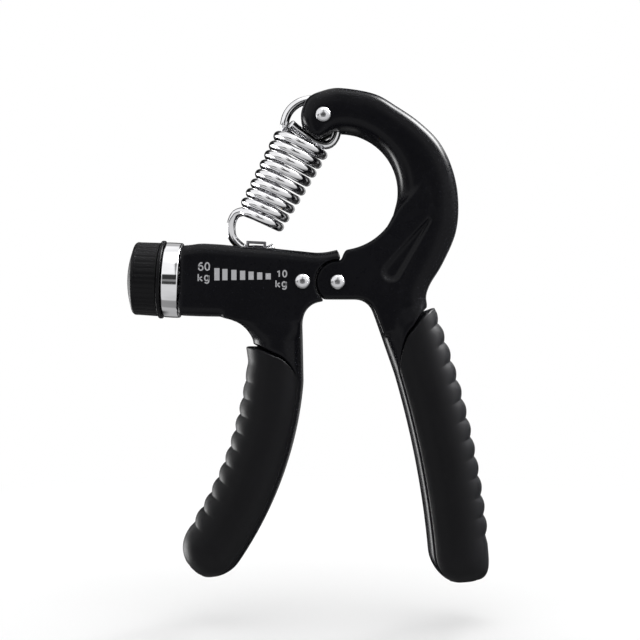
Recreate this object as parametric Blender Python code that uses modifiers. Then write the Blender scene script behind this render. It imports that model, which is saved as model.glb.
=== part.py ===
"""Adjustable hand gripper: two hinged handles, an extension spring and a load knob.

The model stands upright. X runs to the right, Z up, and the front faces -Y. The ring-shaped
arm and the right handle are one moulding. The left handle carries the housing with the lead
screw, and turns about the pivot rivet when the handles are squeezed. All sizes here are in
millimetres, and MM turns them into Blender's metres.
"""

from math import atan2, copysign, cos, hypot, pi, radians, sin, tan

import bmesh
import bpy
import numpy as np
from mathutils import Matrix, Vector

MM = 0.001
GAP = 0.3
DEPTH = Vector((0.0, 1.0, 0.0))

# Places of the three cross pins, as X and Z
PIVOT = (9.76, 97.27)
TIP_PIN = (5.27, 150.30)
FRAME_RIVET = (-1.30, 97.40)

# Ring-shaped arm: its bore, and its width at angles clockwise from straight up
RING_CENTRE = (10.40, 127.10)
RING_BORE_R = 19.2
ARM_WIDTHS = ((20, 13.65), (35, 13.4), (50, 14.6), (65, 16.6), (80, 18.0), (95, 19.4), (110, 20.9))
ARM_HALF_DEPTH = 9.6
ARM_ROUNDNESS = 3.4
FORK_SLOT = 4.0
FORK_SLOT_X = 12.8

# Outer and inner edge of the arm's rounded tip and of the neck above the right handle
TIP_EDGES = (
    ((1.3, 144.9), (4.55, 143.6)),
    ((-0.9, 146.8), (7.5, 145.2)),
    ((-2.0, 150.3), (8.8, 146.1)),
    ((-1.5, 153.6), (9.9, 146.2)),
    ((0.5, 156.95), (10.7, 146.2)),
    ((4.9, 158.95), (12.0, 146.1)),
    ((10.7, 159.85), (13.7, 145.9)),
)
NECK_EDGES = (
    ((43.85, 103.4), (25.4, 109.6)),
    ((39.9, 96.9), (22.1, 99.8)),
    ((38.5, 93.0), (20.4, 92.6)),
    ((38.75, 90.6), (21.6, 87.4)),
)

# Leaf-shaped recess in both faces of the arm
LEAF_ROUND = (26.9, 100.4)
LEAF_POINT = (40.2, 119.0)
LEAF_R = 2.8
LEAF_DEPTH = 0.9

# Hub that joins the arm to its handle and holds the pivot between two cheeks
CHEEK_R = 6.9
CHEEK_BOTTOM = 5.3
CHEEK_INNER = 5.2
NOTCH_TOP_X = 12.4
NOTCH_MID = (11.5, 106.0)
NOTCH_BASE_ANGLE = 79
HUB_CORNER = (20.1, 91.95)
HUB_CORNER_R = 6.0
HUB_BEVEL = 1.4
HUB_PROUD = 0.12
HUB_RIM_RISE = 0.45

# Handles: path of the core, bend, half width, half depth and the end
HANDLE_HALF_DEPTH = 10.9
HANDLE_ROUNDNESS = 2.6
RIGHT_START = (31.85, 85.8)
RIGHT_HEADINGS = (20.0, 5.1)
RIGHT_LENGTH = 77.0
RIGHT_HALF_WIDTH = 8.75
RIGHT_SWELL = 0.38
RIGHT_END = 10.6
RIGHT_END_SQUARENESS = 4.0
LEFT_START = (-9.6, 76.6)
LEFT_HEADINGS = (-0.1, -34.6)
LEFT_LENGTH = 68.8
LEFT_HALF_WIDTH = 8.85
LEFT_SWELL = 0.45
LEFT_END = 10.2
LEFT_END_SQUARENESS = 2.2
END_INNER_SQUARENESS = 1.8

# Rubber grips: C-shaped in section, wrapped round all but the inner strip and over the foot
GRIP_THICKNESS = 2.4
GRIP_PROUD = 0.4
GRIP_REACH = 143
GRIP_MOUTH = 0.9
RIM_GAP = 0.6
RIM_COLLAR = 5.0
RIM_STEP = 1.0
RIM_POWER = 1.7
RIGHT_RIM_SLOPE = 17.0
LEFT_RIM_SLOPE = 11.3

# Cross ribs on the grips: start, count, pitch, height, and how many rise slowly at the top
RIGHT_RIDGE_START = -1.2
RIGHT_RIDGES = 12
RIGHT_RIDGE_PITCH = 6.15
RIGHT_RIDGE_HEIGHT = 1.0
RIGHT_RIDGE_RAMP = 0
LEFT_RIDGE_START = 6.05
LEFT_RIDGES = 10
LEFT_RIDGE_PITCH = 5.95
LEFT_RIDGE_HEIGHT = 0.9
LEFT_RIDGE_RAMP = 3
TAIL_SHARE = 0.55

# Housing on the left lever, and the axis of knob and lead screw
AXIS_POINT = (-45.98, 98.27)
AXIS_TILT = 2.7
HOUSING_HALF_DEPTH = 11.0
HOUSING_BEVEL = 2.2
HOUSING_TOP_LEFT = 12.4
HOUSING_TOP_DIP = (4.2, 106.7)
NOSE_TOP = (9.55, 108.0)
NOSE_MID = (10.4, 106.0)
NOSE_BASE_ANGLE = 82
RECESS_END_ANGLE = 236
CROTCH_CORNER = (-1.75, 91.0)
CROTCH_R = 6.6
ARMPIT_CORNER = (-17.2, 85.2)
ARMPIT_R = 10.2
HOUSING_BOTTOM_LEFT = 11.35
NECK_TOP_Z = 84.5
NECK_RIGHT_EDGE = (-1.45, 78.5)
NECK_LEFT_EDGE = (-16.9, 78.5)
NECK_INSET = 0.1
NECK_SQUARENESS = 7.0

# Steel channel inside the housing, open at the top
CHANNEL_HALF_WIDTH = 4.0
CHANNEL_WALL = 1.2
CHANNEL_HALF_HEIGHT = 6.0
CHANNEL_START = 11.5
CHANNEL_KNEE = 14.5
CHANNEL_EYE_R = 4.9

# Lead screw, its bushes and clip, as distances along the axis from the ring's left face
SCREW_R = 2.0
SCREW_END = 40.9
THREAD_PITCH = 2.0
THREAD_DEPTH = 0.35
FRONT_BUSH_R = 4.6
FRONT_BUSH_START = 5.9
FRONT_BUSH_LENGTH = 4.2
END_BUSH_START = 37.8
END_BUSH_LENGTH = 2.6
CLIP_R = 3.2
CLIP_THICKNESS = 0.8

# Knob, flange and chrome ring
RING_R = 12.2
RING_WIDTH = 5.3
RING_WALL = 1.6
FLANGE_R = 12.65
FLANGE_THICKNESS = 1.2
KNOB_R = 11.95
KNOB_LENGTH = 8.3
KNOB_DOME = 1.95
KNOB_RIM_R = 0.9
KNOB_RIBS = 36
KNOB_SOCKET_R = 4.6
KNOB_SOCKET_DEPTH = 5.2
KNOB_SCREW_HEAD_R = 3.2

# Slider: nut on the screw and the bridge that holds the spring's hook
SLIDER_X = -17.1
NUT_HALF_LENGTH = 3.5
NUT_HALF_WIDTH = 2.5
NUT_HALF_HEIGHT = 4.5
BRIDGE_HALF_LENGTH = 3.1
BRIDGE_TOP = 13.8
HOOK_HEIGHT = 11.2
HOOK_PLAY = 3.6
SLOT_HALF_WIDTH = 2.9
SLIDER_TRAVEL = (-6.0, 5.0)

# Pins, heads and washers
PIN_R = 1.5
HEAD_R = 2.45
HEAD_HEIGHT = 1.2
SLEEVE_R = 2.4
WASHER_R = 4.6
WASHER_THICKNESS = 0.6
SPRING_BUSH_R = 2.3

# Extension spring: a full loop with its cut end over the coil, the coil, and a hook
WIRE_R = 1.45
COIL_TOP = (-1.77, 142.6)
COIL_TILT = 28.6
COIL_TURNS = 8.4
COIL_PITCH = 3.41
COIL_TOP_R = 7.95
COIL_BOTTOM_R = 6.65
POINTS_PER_TURN = 10
LOOP_CENTRE = (1.3, 148.13)
LOOP_R = 8.63
LOOP_END = (
    (-5.1, -2.8, 148.4),
    (-3.2, -1.6, 147.0),
    (-0.8, -0.3, 145.5),
    (1.6, 0.0, 143.95),
    (3.9, 0.0, 142.65),
    (6.15, 0.0, 142.1),
    (8.0, 0.0, 142.9),
)
LOOP_TO_COIL = ((-7.2, 0.7, 147.6), (-6.9, 2.7, 147.2))
COIL_TO_HOOK = (
    (-20.7, -3.5, 120.1),
    (-22.9, -2.5, 119.4),
    (-24.3, -1.5, 117.1),
    (-24.6, -0.7, 114.2),
    (-23.8, -0.1, 111.3),
)


def clear_scene():
    """Removes what the scene holds."""
    for thing in list(bpy.data.objects):
        bpy.data.objects.remove(thing)


def new_collection(name):
    """A collection linked to the scene."""
    collection = bpy.data.collections.new(name)
    bpy.context.scene.collection.children.link(collection)
    return collection


def material(name, colour, roughness, metallic=0.0):
    """A Principled material of one colour."""
    made = bpy.data.materials.new(name)
    made.use_nodes = True
    shader = made.node_tree.nodes["Principled BSDF"]
    shader.inputs["Base Color"].default_value = (*colour, 1.0)
    shader.inputs["Roughness"].default_value = roughness
    shader.inputs["Metallic"].default_value = metallic
    return made


def flat(point, depth=0.0):
    """The 3-D point, in millimetres, of an (X, Z) pair at a depth along Y."""
    return Vector((point[0], depth, point[1]))


def polar(centre, radius, degrees):
    """A point on a circle in the X-Z plane. The angle runs from +X towards +Z."""
    return (centre[0] + radius * cos(radians(degrees)), centre[1] + radius * sin(radians(degrees)))


def clock(centre, radius, degrees):
    """A point on a circle in the X-Z plane. The angle runs clockwise from straight up."""
    return polar(centre, radius, 90 - degrees)


def arc(centre, radius, start, end, count):
    """Evenly spaced points on an arc, both ends included."""
    return [polar(centre, radius, start + (end - start) * i / count) for i in range(count + 1)]


def fillet(before, corner, after, radius, count=5):
    """Points on the arc that rounds a corner between two straight edges."""
    a = (Vector(before) - Vector(corner)).normalized()
    b = (Vector(after) - Vector(corner)).normalized()
    half = a.angle(b) / 2
    middle = Vector(corner) + (a + b).normalized() * (radius / sin(half))
    first = Vector(corner) + a * (radius / tan(half)) - middle
    last = Vector(corner) + b * (radius / tan(half)) - middle
    turn = first.angle_signed(last)
    start = atan2(first.y, first.x)
    steps = [start - turn * i / count for i in range(count + 1)]
    return [(middle.x + radius * cos(t), middle.y + radius * sin(t)) for t in steps]


def on_axis(along, up=0.0):
    """The (X, Z) point at a distance along the knob's axis and a height over it."""
    t = radians(AXIS_TILT)
    return (
        AXIS_POINT[0] + along * cos(t) + up * sin(t),
        AXIS_POINT[1] - along * sin(t) + up * cos(t),
    )


def along_axis(x):
    """How far along the knob's axis an X position lies."""
    return (x - AXIS_POINT[0]) / cos(radians(AXIS_TILT))


def add_object(name, mesh, where, look, origin=(0.0, 0.0)):
    """Links a mesh made in world millimetres as an object with its origin at an (X, Z) point."""
    centre = flat(origin)
    mesh.transform(Matrix.Scale(MM, 4) @ Matrix.Translation(-centre))
    made = bpy.data.objects.new(name, mesh)
    made.location = centre * MM
    where.objects.link(made)
    if look is None:
        made.hide_render = True
        made.display_type = "WIRE"
    else:
        mesh.materials.append(look)
    return made


def from_bmesh(name, shape, where, look, origin=(0.0, 0.0), smooth=35):
    """Turns a bmesh in world millimetres into an object, with smooth round stretches."""
    bmesh.ops.recalc_face_normals(shape, faces=shape.faces)
    mesh = bpy.data.meshes.new(name)
    shape.to_mesh(mesh)
    shape.free()
    if smooth:
        mesh.shade_smooth()
        mesh.set_sharp_from_angle(angle=radians(smooth))
    return add_object(name, mesh, where, look, origin)


def prism(name, outline, low, high, where, look, origin=(0.0, 0.0), bevel=0.0, sharp=None):
    """An outline in the X-Z plane, carried along Y from low to high, with rounded rims.

    Sharp is a test of an edge, and keeps the rims that pass it sharp.
    """
    shape = bmesh.new()
    front = shape.faces.new([shape.verts.new(flat(p, low)) for p in outline])
    moved = bmesh.ops.extrude_face_region(shape, geom=[front])["geom"]
    bmesh.ops.translate(
        shape, vec=DEPTH * (high - low), verts=[v for v in moved if isinstance(v, bmesh.types.BMVert)]
    )
    if bevel:
        rims = [e for e in shape.edges if abs(e.verts[0].co.y - e.verts[1].co.y) < 1e-6]
        rims = [e for e in rims if not (sharp and sharp(e))]
        bmesh.ops.bevel(shape, geom=rims, offset=bevel, segments=2, affect="EDGES", clamp_overlap=True)
    return from_bmesh(name, shape, where, look, origin)


def on_circle(radius):
    """A test of whether both ends of an edge lie on a circle about the pivot."""
    return lambda e: all(abs(hypot(v.co.x - PIVOT[0], v.co.z - PIVOT[1]) - radius) < 0.05 for v in e.verts)


def loft(name, rings, where, look, origin=(0.0, 0.0), two_sided=False):
    """A closed skin over rings of the same number of points, capped at both ends.

    A two-sided ring runs along its outside and back along its inside, so its cap is a strip.
    """
    shape = bmesh.new()
    rows = [[shape.verts.new(p) for p in ring] for ring in rings]
    count = len(rows[0])
    for one, two in zip(rows, rows[1:]):
        for i in range(count):
            j = (i + 1) % count
            shape.faces.new((one[i], one[j], two[j], two[i]))
    for row in (rows[0], rows[-1]):
        if two_sided:
            for i in range(count // 2 - 1):
                shape.faces.new((row[i], row[i + 1], row[count - 2 - i], row[count - 1 - i]))
        else:
            shape.faces.new(row)
    return from_bmesh(name, shape, where, look, origin, smooth=40)


def turned(name, profile, where, look, base, direction, steps=24):
    """A profile of (radius, height) points turned about a line through base along direction.

    The points run down the outer side, from the top to the bottom.
    """
    closed = min(r for r, _ in profile) > 0.01
    mesh = bpy.data.meshes.new(name)
    points = [(r * MM, 0.0, h * MM) for r, h in profile]
    edges = [(i, i + 1) for i in range(len(points) - 1)]
    if closed:
        edges.append((len(points) - 1, 0))
    mesh.from_pydata(points, edges, [])
    made = bpy.data.objects.new(name, mesh)
    where.objects.link(made)
    made.location = base * MM
    made.rotation_mode = "QUATERNION"
    made.rotation_quaternion = Vector((0.0, 0.0, 1.0)).rotation_difference(direction)
    screw = made.modifiers.new("turn", "SCREW")
    screw.axis = "Z"
    screw.steps = steps
    screw.render_steps = steps
    screw.use_merge_vertices = True
    screw.merge_threshold = 0.000001
    screw.use_smooth_shade = True
    if look is None:
        made.hide_render = True
        made.display_type = "WIRE"
    else:
        mesh.materials.append(look)
    return made


def combine(target, tool, operation):
    """A Boolean between two objects. The tool stays as a hidden guide."""
    step = target.modifiers.new(operation.lower(), "BOOLEAN")
    step.operation = operation
    step.object = tool
    step.solver = "EXACT"


def section_point(centre, across, half_width, half_depth, roundness, angle):
    """A point of a rounded section: the power of cosine and sine sets how square it is."""
    c = cos(angle)
    s = sin(angle)
    wide = half_width * copysign(abs(c) ** (2 / roundness), c)
    deep = half_depth * copysign(abs(s) ** (2 / roundness), s)
    return centre + across * wide + DEPTH * deep


def smooth_pairs(pairs, parts):
    """Points of a smooth curve through pairs of edge points, with some parts between each."""
    rows = [tuple(flat(p) for p in pair) for pair in pairs]
    rows = [rows[0]] + rows + [rows[-1]]
    made = []
    for k in range(1, len(rows) - 2):
        for i in range(parts):
            t = i / parts
            near = rows[k - 1 : k + 3]
            made.append(tuple(catmull(*(row[e] for row in near), t) for e in (0, 1)))
    made.append(rows[-1])
    return made


def catmull(a, b, c, d, t):
    """A point between b and c on the smooth curve through a, b, c and d."""
    return 0.5 * (2 * b + (c - a) * t + (2 * a - 5 * b + 4 * c - d) * t**2 + (3 * b - a - 3 * c + d) * t**3)


class Handle:
    """One handle: the path of its core, its section, and the place of its rubber grip."""

    def __init__(self, start, headings, size, end, outward, ridges, slope):
        self.start = flat(start)
        self.headings = [radians(h) for h in headings]
        self.length, self.half_width, self.swell = size
        self.end, self.squareness = end
        self.outward = outward
        self.first_ridge, self.ridges, self.pitch, self.ridge_height, self.ramp = ridges
        self.slope = slope
        self.reach = radians(GRIP_REACH)

    def heading(self, along):
        """Direction of the path, from straight down towards +X."""
        first, last = self.headings
        return first + (last - first) * along / self.length

    def centre(self, along):
        """A point of the path, which is a circular arc."""
        first = self.headings[0]
        bend = (self.headings[1] - first) / self.length
        now = self.heading(along)
        return self.start + Vector(((cos(first) - cos(now)) / bend, 0.0, (sin(first) - sin(now)) / bend))

    def across(self, along):
        """Unit vector from the path towards the handle's outer side."""
        now = self.heading(along)
        return Vector((cos(now), 0.0, sin(now))) * self.outward

    def half_at(self, along):
        """Half width of the core, which swells a little below the rim."""
        left = 1 - min(along / self.length, 1.0)
        return self.half_width + self.swell * (1 - left**4)

    def skewed(self, along, angle):
        """Where a line of the grip runs: its rim slopes from the outer side down to the inner one."""
        around = min(abs(angle), self.reach) / self.reach
        drop = self.slope * (1 - cos(around * pi / 2)) ** RIM_POWER
        return along + drop * (1 - along / self.length)

    def surface(self, along, angle, grow=0.0, outer_extra=0.0):
        """A point on the full section, grown on all sides or on the outer side alone."""
        along = self.skewed(along, angle)
        grown = self.half_at(along) + grow + outer_extra
        depth = HANDLE_HALF_DEPTH + grow
        return section_point(self.centre(along), self.across(along), grown, depth, HANDLE_ROUNDNESS, angle)

    def foot_point(self, share, angle, grow=0.0, outer_extra=0.0, short=0.0):
        """A point of the rounded end, which is squarer on the outer side. A sunk layer is shorter."""
        along = self.length + (self.end - short) * share
        power = self.squareness if cos(angle) > 0 else END_INNER_SQUARENESS
        wide = (self.half_at(along) + grow + outer_extra) * self.shrink(share, power)
        deep = (HANDLE_HALF_DEPTH + grow) * self.shrink(share, 2.4)
        return section_point(self.centre(along), self.across(along), wide, deep, HANDLE_ROUNDNESS, angle)

    def covered_angles(self, trim, count=14):
        """Angles over the part of the section that the grip covers."""
        top = self.reach - trim
        return [-top + 2 * top * i / count for i in range(count + 1)]

    def bare_angles(self, count=5):
        """Angles over the inner strip that the grip leaves bare."""
        span = 2 * (pi - self.reach)
        return [self.reach + span * i / count for i in range(count + 1)]

    def core_ring(self, along, sunk):
        """A ring of the core, sunk under the grip by the grip's thickness and a gap."""
        grow = -(GRIP_THICKNESS + GAP) if sunk else 0.0
        step = 0.0 if sunk else RIM_STEP
        ring = [self.surface(along, t, grow, -step * max(0.0, cos(t))) for t in self.covered_angles(0.02)]
        return ring + [self.surface(along, t) for t in self.bare_angles()]

    def foot_ring(self, share, sunk):
        """A ring of the core's rounded end, sunk under the grip or in its mouth at the bottom."""
        if sunk:
            short = GRIP_THICKNESS + GRIP_PROUD + GAP
            layer = [(-(GRIP_THICKNESS + GAP), 0.0, short)] * 15
        else:
            layer = [(GRIP_PROUD, self.tail_height(t), 0.0) for t in self.covered_angles(0.02)]
        ring = [self.foot_point(share, t, *size) for t, size in zip(self.covered_angles(0.02), layer)]
        return ring + [self.foot_point(share, t) for t in self.bare_angles()]

    @staticmethod
    def shrink(share, power):
        """How wide a rounded end still is at a share of its length."""
        return max(1 - abs(share) ** power, 0.0) ** (1 / power)

    @staticmethod
    def fade(angle):
        """How far the cross ribs still stand out at an angle from the outer side."""
        return max(0.0, cos(min(abs(angle) * 1.2, pi / 2)))

    def tail_height(self, angle):
        """Height of the grip's plain tail over its groove level."""
        return TAIL_SHARE * self.ridge_height * self.fade(angle)

    def core_rings(self):
        """Rings from the grip's rim to the handle's rounded end."""
        rings = [self.core_ring(-RIM_GAP - 0.05, False), self.core_ring(-RIM_GAP, True)]
        rings += [self.core_ring(self.length * i / 9, True) for i in range(1, 10)]
        button = GRIP_MOUTH + GAP / self.end
        rings += [self.foot_ring(s, True) for s in (0.3, 0.55, 0.75, 0.87, button - 0.005)]
        return rings + [self.foot_ring(s, False) for s in (button, 0.965, 0.99)]

    def ridge(self, along, angle):
        """Height of the cross ribs and of the rim's collar over the grip's groove level."""
        phase = (along - self.first_ridge) / self.pitch
        wave = abs(sin(pi * phase)) ** 0.8 if 0 < phase < self.ridges else 0.0
        wave *= min(1.0, (phase + 1) / (self.ramp + 1))
        collar = max(0.0, 1 - along / RIM_COLLAR)
        tail = min(1.0, (phase - self.ridges) * 2) * TAIL_SHARE if phase > self.ridges else 0.0
        return self.ridge_height * max(wave, collar, tail) * self.fade(angle)

    def grip_ring(self, along):
        """A C-shaped ring of the grip: along its outside, and back along its inside."""
        angles = self.covered_angles(0.06)
        outside = [self.surface(along, t, GRIP_PROUD, self.ridge(along, t)) for t in angles]
        inside = [self.surface(along, t, -GRIP_THICKNESS) for t in reversed(angles)]
        return outside + inside

    def grip_foot_ring(self, share):
        """A C-shaped ring of the grip over the rounded end."""
        angles = self.covered_angles(0.06 + 0.06 * share**2)
        outside = [self.foot_point(share, t, GRIP_PROUD, self.tail_height(t)) for t in angles]
        short = GRIP_THICKNESS + GRIP_PROUD
        inside = [self.foot_point(share, t, -GRIP_THICKNESS, 0.0, short) for t in reversed(angles)]
        return outside + inside

    def grip_rings(self):
        """Rings of the grip, four to each ridge, and over the foot to its mouth."""
        stops = [self.first_ridge + self.pitch * i / 4 for i in range(4 * self.ridges + 1)]
        if self.first_ridge > 2:
            stops.insert(0, self.first_ridge / 2)
        rings = [self.grip_ring(s) for s in [0.0] + [s for s in stops if s > 0.5]]
        rings.append(self.grip_ring(self.length))
        return rings + [self.grip_foot_ring(s) for s in (0.3, 0.55, 0.75, GRIP_MOUTH)]


RIGHT = Handle(
    RIGHT_START,
    RIGHT_HEADINGS,
    (RIGHT_LENGTH, RIGHT_HALF_WIDTH, RIGHT_SWELL),
    (RIGHT_END, RIGHT_END_SQUARENESS),
    1,
    (RIGHT_RIDGE_START, RIGHT_RIDGES, RIGHT_RIDGE_PITCH, RIGHT_RIDGE_HEIGHT, RIGHT_RIDGE_RAMP),
    RIGHT_RIM_SLOPE,
)
LEFT = Handle(
    LEFT_START,
    LEFT_HEADINGS,
    (LEFT_LENGTH, LEFT_HALF_WIDTH, LEFT_SWELL),
    (LEFT_END, LEFT_END_SQUARENESS),
    -1,
    (LEFT_RIDGE_START, LEFT_RIDGES, LEFT_RIDGE_PITCH, LEFT_RIDGE_HEIGHT, LEFT_RIDGE_RAMP),
    LEFT_RIM_SLOPE,
)


def limb_ring(outer, inner, half_depth, handle, roundness=ARM_ROUNDNESS):
    """A ring between two edge points, with its points at the same angles as the handle's."""
    across = (outer - inner).normalized()
    half = (outer - inner).length / 2
    angles = handle.covered_angles(0.02) + handle.bare_angles()
    middle = (outer + inner) / 2
    return [section_point(middle, across, half, half_depth, roundness, t) for t in angles]


def arm_rings():
    """Rings from the arm's tip round the ring, down the neck and along the right handle."""
    pairs = list(TIP_EDGES)
    for angle, width in ARM_WIDTHS:
        pairs.append(
            (clock(RING_CENTRE, RING_BORE_R + width, angle), clock(RING_CENTRE, RING_BORE_R, angle))
        )
    pairs += NECK_EDGES
    rows = smooth_pairs(pairs, 2)
    tip_out, tip_in = rows[0]
    middle = (tip_out + tip_in) / 2
    rings = []
    for share in (0.35, 0.8):
        shift = Vector((0.0, 0.0, -0.9 * (1 - share)))
        ends = [middle + (p - middle) * share + shift for p in (tip_out, tip_in)]
        rings.append(limb_ring(*ends, ARM_HALF_DEPTH * (0.75 + 0.2 * share), RIGHT))
    rings += [limb_ring(outer, inner, ARM_HALF_DEPTH, RIGHT) for outer, inner in rows]
    return rings + RIGHT.core_rings()


def hub_outline():
    """Outline of the hub: under the ring, down the notch, round the cheek and along the bottom."""
    notch_angle = 180 - (NOTCH_TOP_X - RING_CENTRE[0]) / RING_BORE_R * 180 / pi
    bottom = PIVOT[1] - CHEEK_BOTTOM
    cheek_end = 180 + atan2(CHEEK_BOTTOM, (CHEEK_R**2 - CHEEK_BOTTOM**2) ** 0.5) * 180 / pi
    inside = RIGHT.centre(3) - RIGHT.across(3) * RIGHT.half_width
    points = []
    for i in range(9):
        radius = RING_BORE_R + HUB_RIM_RISE * i / 8
        points.append(clock(RING_CENTRE, radius, 108 + (notch_angle - 108) * i / 8))
    points.append(NOTCH_MID)
    points += arc(PIVOT, CHEEK_R, NOTCH_BASE_ANGLE, cheek_end, 14)
    points += fillet((PIVOT[0], bottom), HUB_CORNER, (inside.x, inside.z), HUB_CORNER_R)
    middle = RIGHT.centre(2)
    points += [(inside.x, inside.z), (middle.x, middle.z)]
    points += [((a[0] + b[0]) / 2, (a[1] + b[1]) / 2) for a, b in reversed(NECK_EDGES)]
    angle, width = ARM_WIDTHS[-1]
    points.append(clock(RING_CENTRE, RING_BORE_R + width / 2, angle))
    return points


def leaf_outline():
    """A round end and two curved sides that meet in a point."""
    round_end = Vector(LEAF_ROUND)
    point = Vector(LEAF_POINT)
    axis = (point - round_end).normalized()
    side = Vector((-axis.y, axis.x))
    length = (point - round_end).length
    heading = atan2(-axis.y, -axis.x)
    made = []
    for i in range(7):
        t = heading - pi / 2 + pi * i / 6
        made.append((round_end.x + LEAF_R * cos(t), round_end.y + LEAF_R * sin(t)))
    lower = [round_end + axis * length * s - side * LEAF_R * (1 - s) ** 0.8 for s in (0.33, 0.66)]
    upper = [round_end + axis * length * s + side * LEAF_R * (1 - s) ** 0.8 for s in (0.66, 0.33)]
    middle = lower + [point] + upper
    if (middle[0] - Vector(made[-1])).length > (middle[-1] - Vector(made[-1])).length:
        middle.reverse()
    return made + [tuple(p) for p in middle]


def pin_bore(name, where, radius, cutters):
    """A cutter for a hole right through, along Y."""
    half_length = 1.5 * HANDLE_HALF_DEPTH
    profile = ((0.0, half_length), (radius, half_length), (radius, -half_length), (0.0, -half_length))
    return turned(name, profile, cutters, None, flat(where), DEPTH, steps=20)


def build_arm_body(parts, cutters, look):
    """The arm with its fork and hub, and the core of the right handle, in one moulding."""
    body = loft("arm_body", arm_rings(), parts, look)
    half = ARM_HALF_DEPTH
    face = half + HUB_PROUD
    hub = prism(
        "hub_block", hub_outline(), -face, face, cutters, None, bevel=HUB_BEVEL, sharp=on_circle(CHEEK_R)
    )
    combine(body, hub, "UNION")
    reach = 1.7 * CHEEK_R
    left = PIVOT[0] - reach
    slot = [(left, PIVOT[1] - reach), (PIVOT[0], PIVOT[1] - reach)]
    slot += arc(PIVOT, CHANNEL_EYE_R + 2 * GAP, -90, 90, 12)
    slot += [(PIVOT[0], PIVOT[1] + CHEEK_R + 0.2), (left, PIVOT[1] + CHEEK_R + 0.2)]
    combine(body, prism("hub_slot", slot, -CHEEK_INNER, CHEEK_INNER, cutters, None), "DIFFERENCE")
    left, low, high = (TIP_PIN[0] - 1.4 * half, TIP_PIN[1] - 1.4 * half, TIP_PIN[1] + 1.4 * half)
    fork = [(left, low), (FORK_SLOT_X, low), (FORK_SLOT_X, high), (left, high)]
    combine(body, prism("fork_slot", fork, -FORK_SLOT / 2, FORK_SLOT / 2, cutters, None), "DIFFERENCE")
    combine(body, pin_bore("pivot_bore", PIVOT, PIN_R + GAP, cutters), "DIFFERENCE")
    combine(body, pin_bore("tip_bore", TIP_PIN, PIN_R + GAP, cutters), "DIFFERENCE")
    floor = half - LEAF_DEPTH
    above = half + LEAF_DEPTH
    combine(body, prism("leaf_front", leaf_outline(), -above, -floor, cutters, None), "DIFFERENCE")
    combine(body, prism("leaf_back", leaf_outline(), floor, above, cutters, None), "DIFFERENCE")
    return body


def housing_outline():
    """Outline of the housing with its nose over the pivot and the neck above the left handle."""
    top_left = on_axis(RING_WIDTH + GAP, HOUSING_TOP_LEFT)
    bottom_left = on_axis(RING_WIDTH + GAP, -HOUSING_BOTTOM_LEFT)
    recess = PIVOT, CHEEK_R + GAP
    lower_tip = polar(*recess, RECESS_END_ANGLE)
    points = fillet(bottom_left, top_left, HOUSING_TOP_DIP, 3.0, 3)
    points += fillet(top_left, HOUSING_TOP_DIP, NOSE_TOP, 9.0, 4)
    points += [NOSE_TOP, NOSE_MID, polar(*recess, NOSE_BASE_ANGLE)]
    points += arc(*recess, NOSE_BASE_ANGLE + 9, RECESS_END_ANGLE, 14)
    points += fillet(lower_tip, CROTCH_CORNER, NECK_RIGHT_EDGE, CROTCH_R)
    points += [(x, NECK_TOP_Z) for x in neck_edges(NECK_TOP_Z)]
    points += [p for p in armpit() if p[1] > NECK_TOP_Z + 0.5]
    points.append(bottom_left)
    return points


def armpit():
    """The rounded corner between the housing's bottom and the left handle's neck."""
    bottom_left = on_axis(RING_WIDTH + GAP, -HOUSING_BOTTOM_LEFT)
    return fillet(NECK_LEFT_EDGE, ARMPIT_CORNER, bottom_left, ARMPIT_R, 9)


def neck_edges(height):
    """X positions of the neck's right and left edge at a height."""
    right, low = NECK_RIGHT_EDGE
    share = (height - low) / (CROTCH_CORNER[1] - low)
    curve = sorted((z, x) for x, z in armpit())
    left = np.interp(height, [z for z, x in curve], [x for z, x in curve])
    return right + (CROTCH_CORNER[0] - right) * share, float(left)


def lever_rings():
    """Rings from inside the housing, down the neck and along the left handle to its rounded end."""
    rings = []
    low = NECK_RIGHT_EDGE[1]
    for share in (1.06, 0.85, 0.6, 0.3, 0.0):
        height = low + (NECK_TOP_Z - low) * share
        right, left = neck_edges(height)
        outer = flat((left + NECK_INSET, height))
        inner = flat((right - NECK_INSET, height))
        roundness = HANDLE_ROUNDNESS + (NECK_SQUARENESS - HANDLE_ROUNDNESS) * min(share, 1.0)
        rings.append(limb_ring(outer, inner, HANDLE_HALF_DEPTH, LEFT, roundness))
    return rings + LEFT.core_rings()


def axis_box(start, end, low, high, half_width, name, cutters):
    """A box cutter set along the knob's axis."""
    corners = [on_axis(start, low), on_axis(end, low), on_axis(end, high), on_axis(start, high)]
    return prism(name, corners, -half_width, half_width, cutters, None)


def slider_along():
    """The slider's middle along the axis, in the position that the photograph shows."""
    return along_axis(SLIDER_X)


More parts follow.
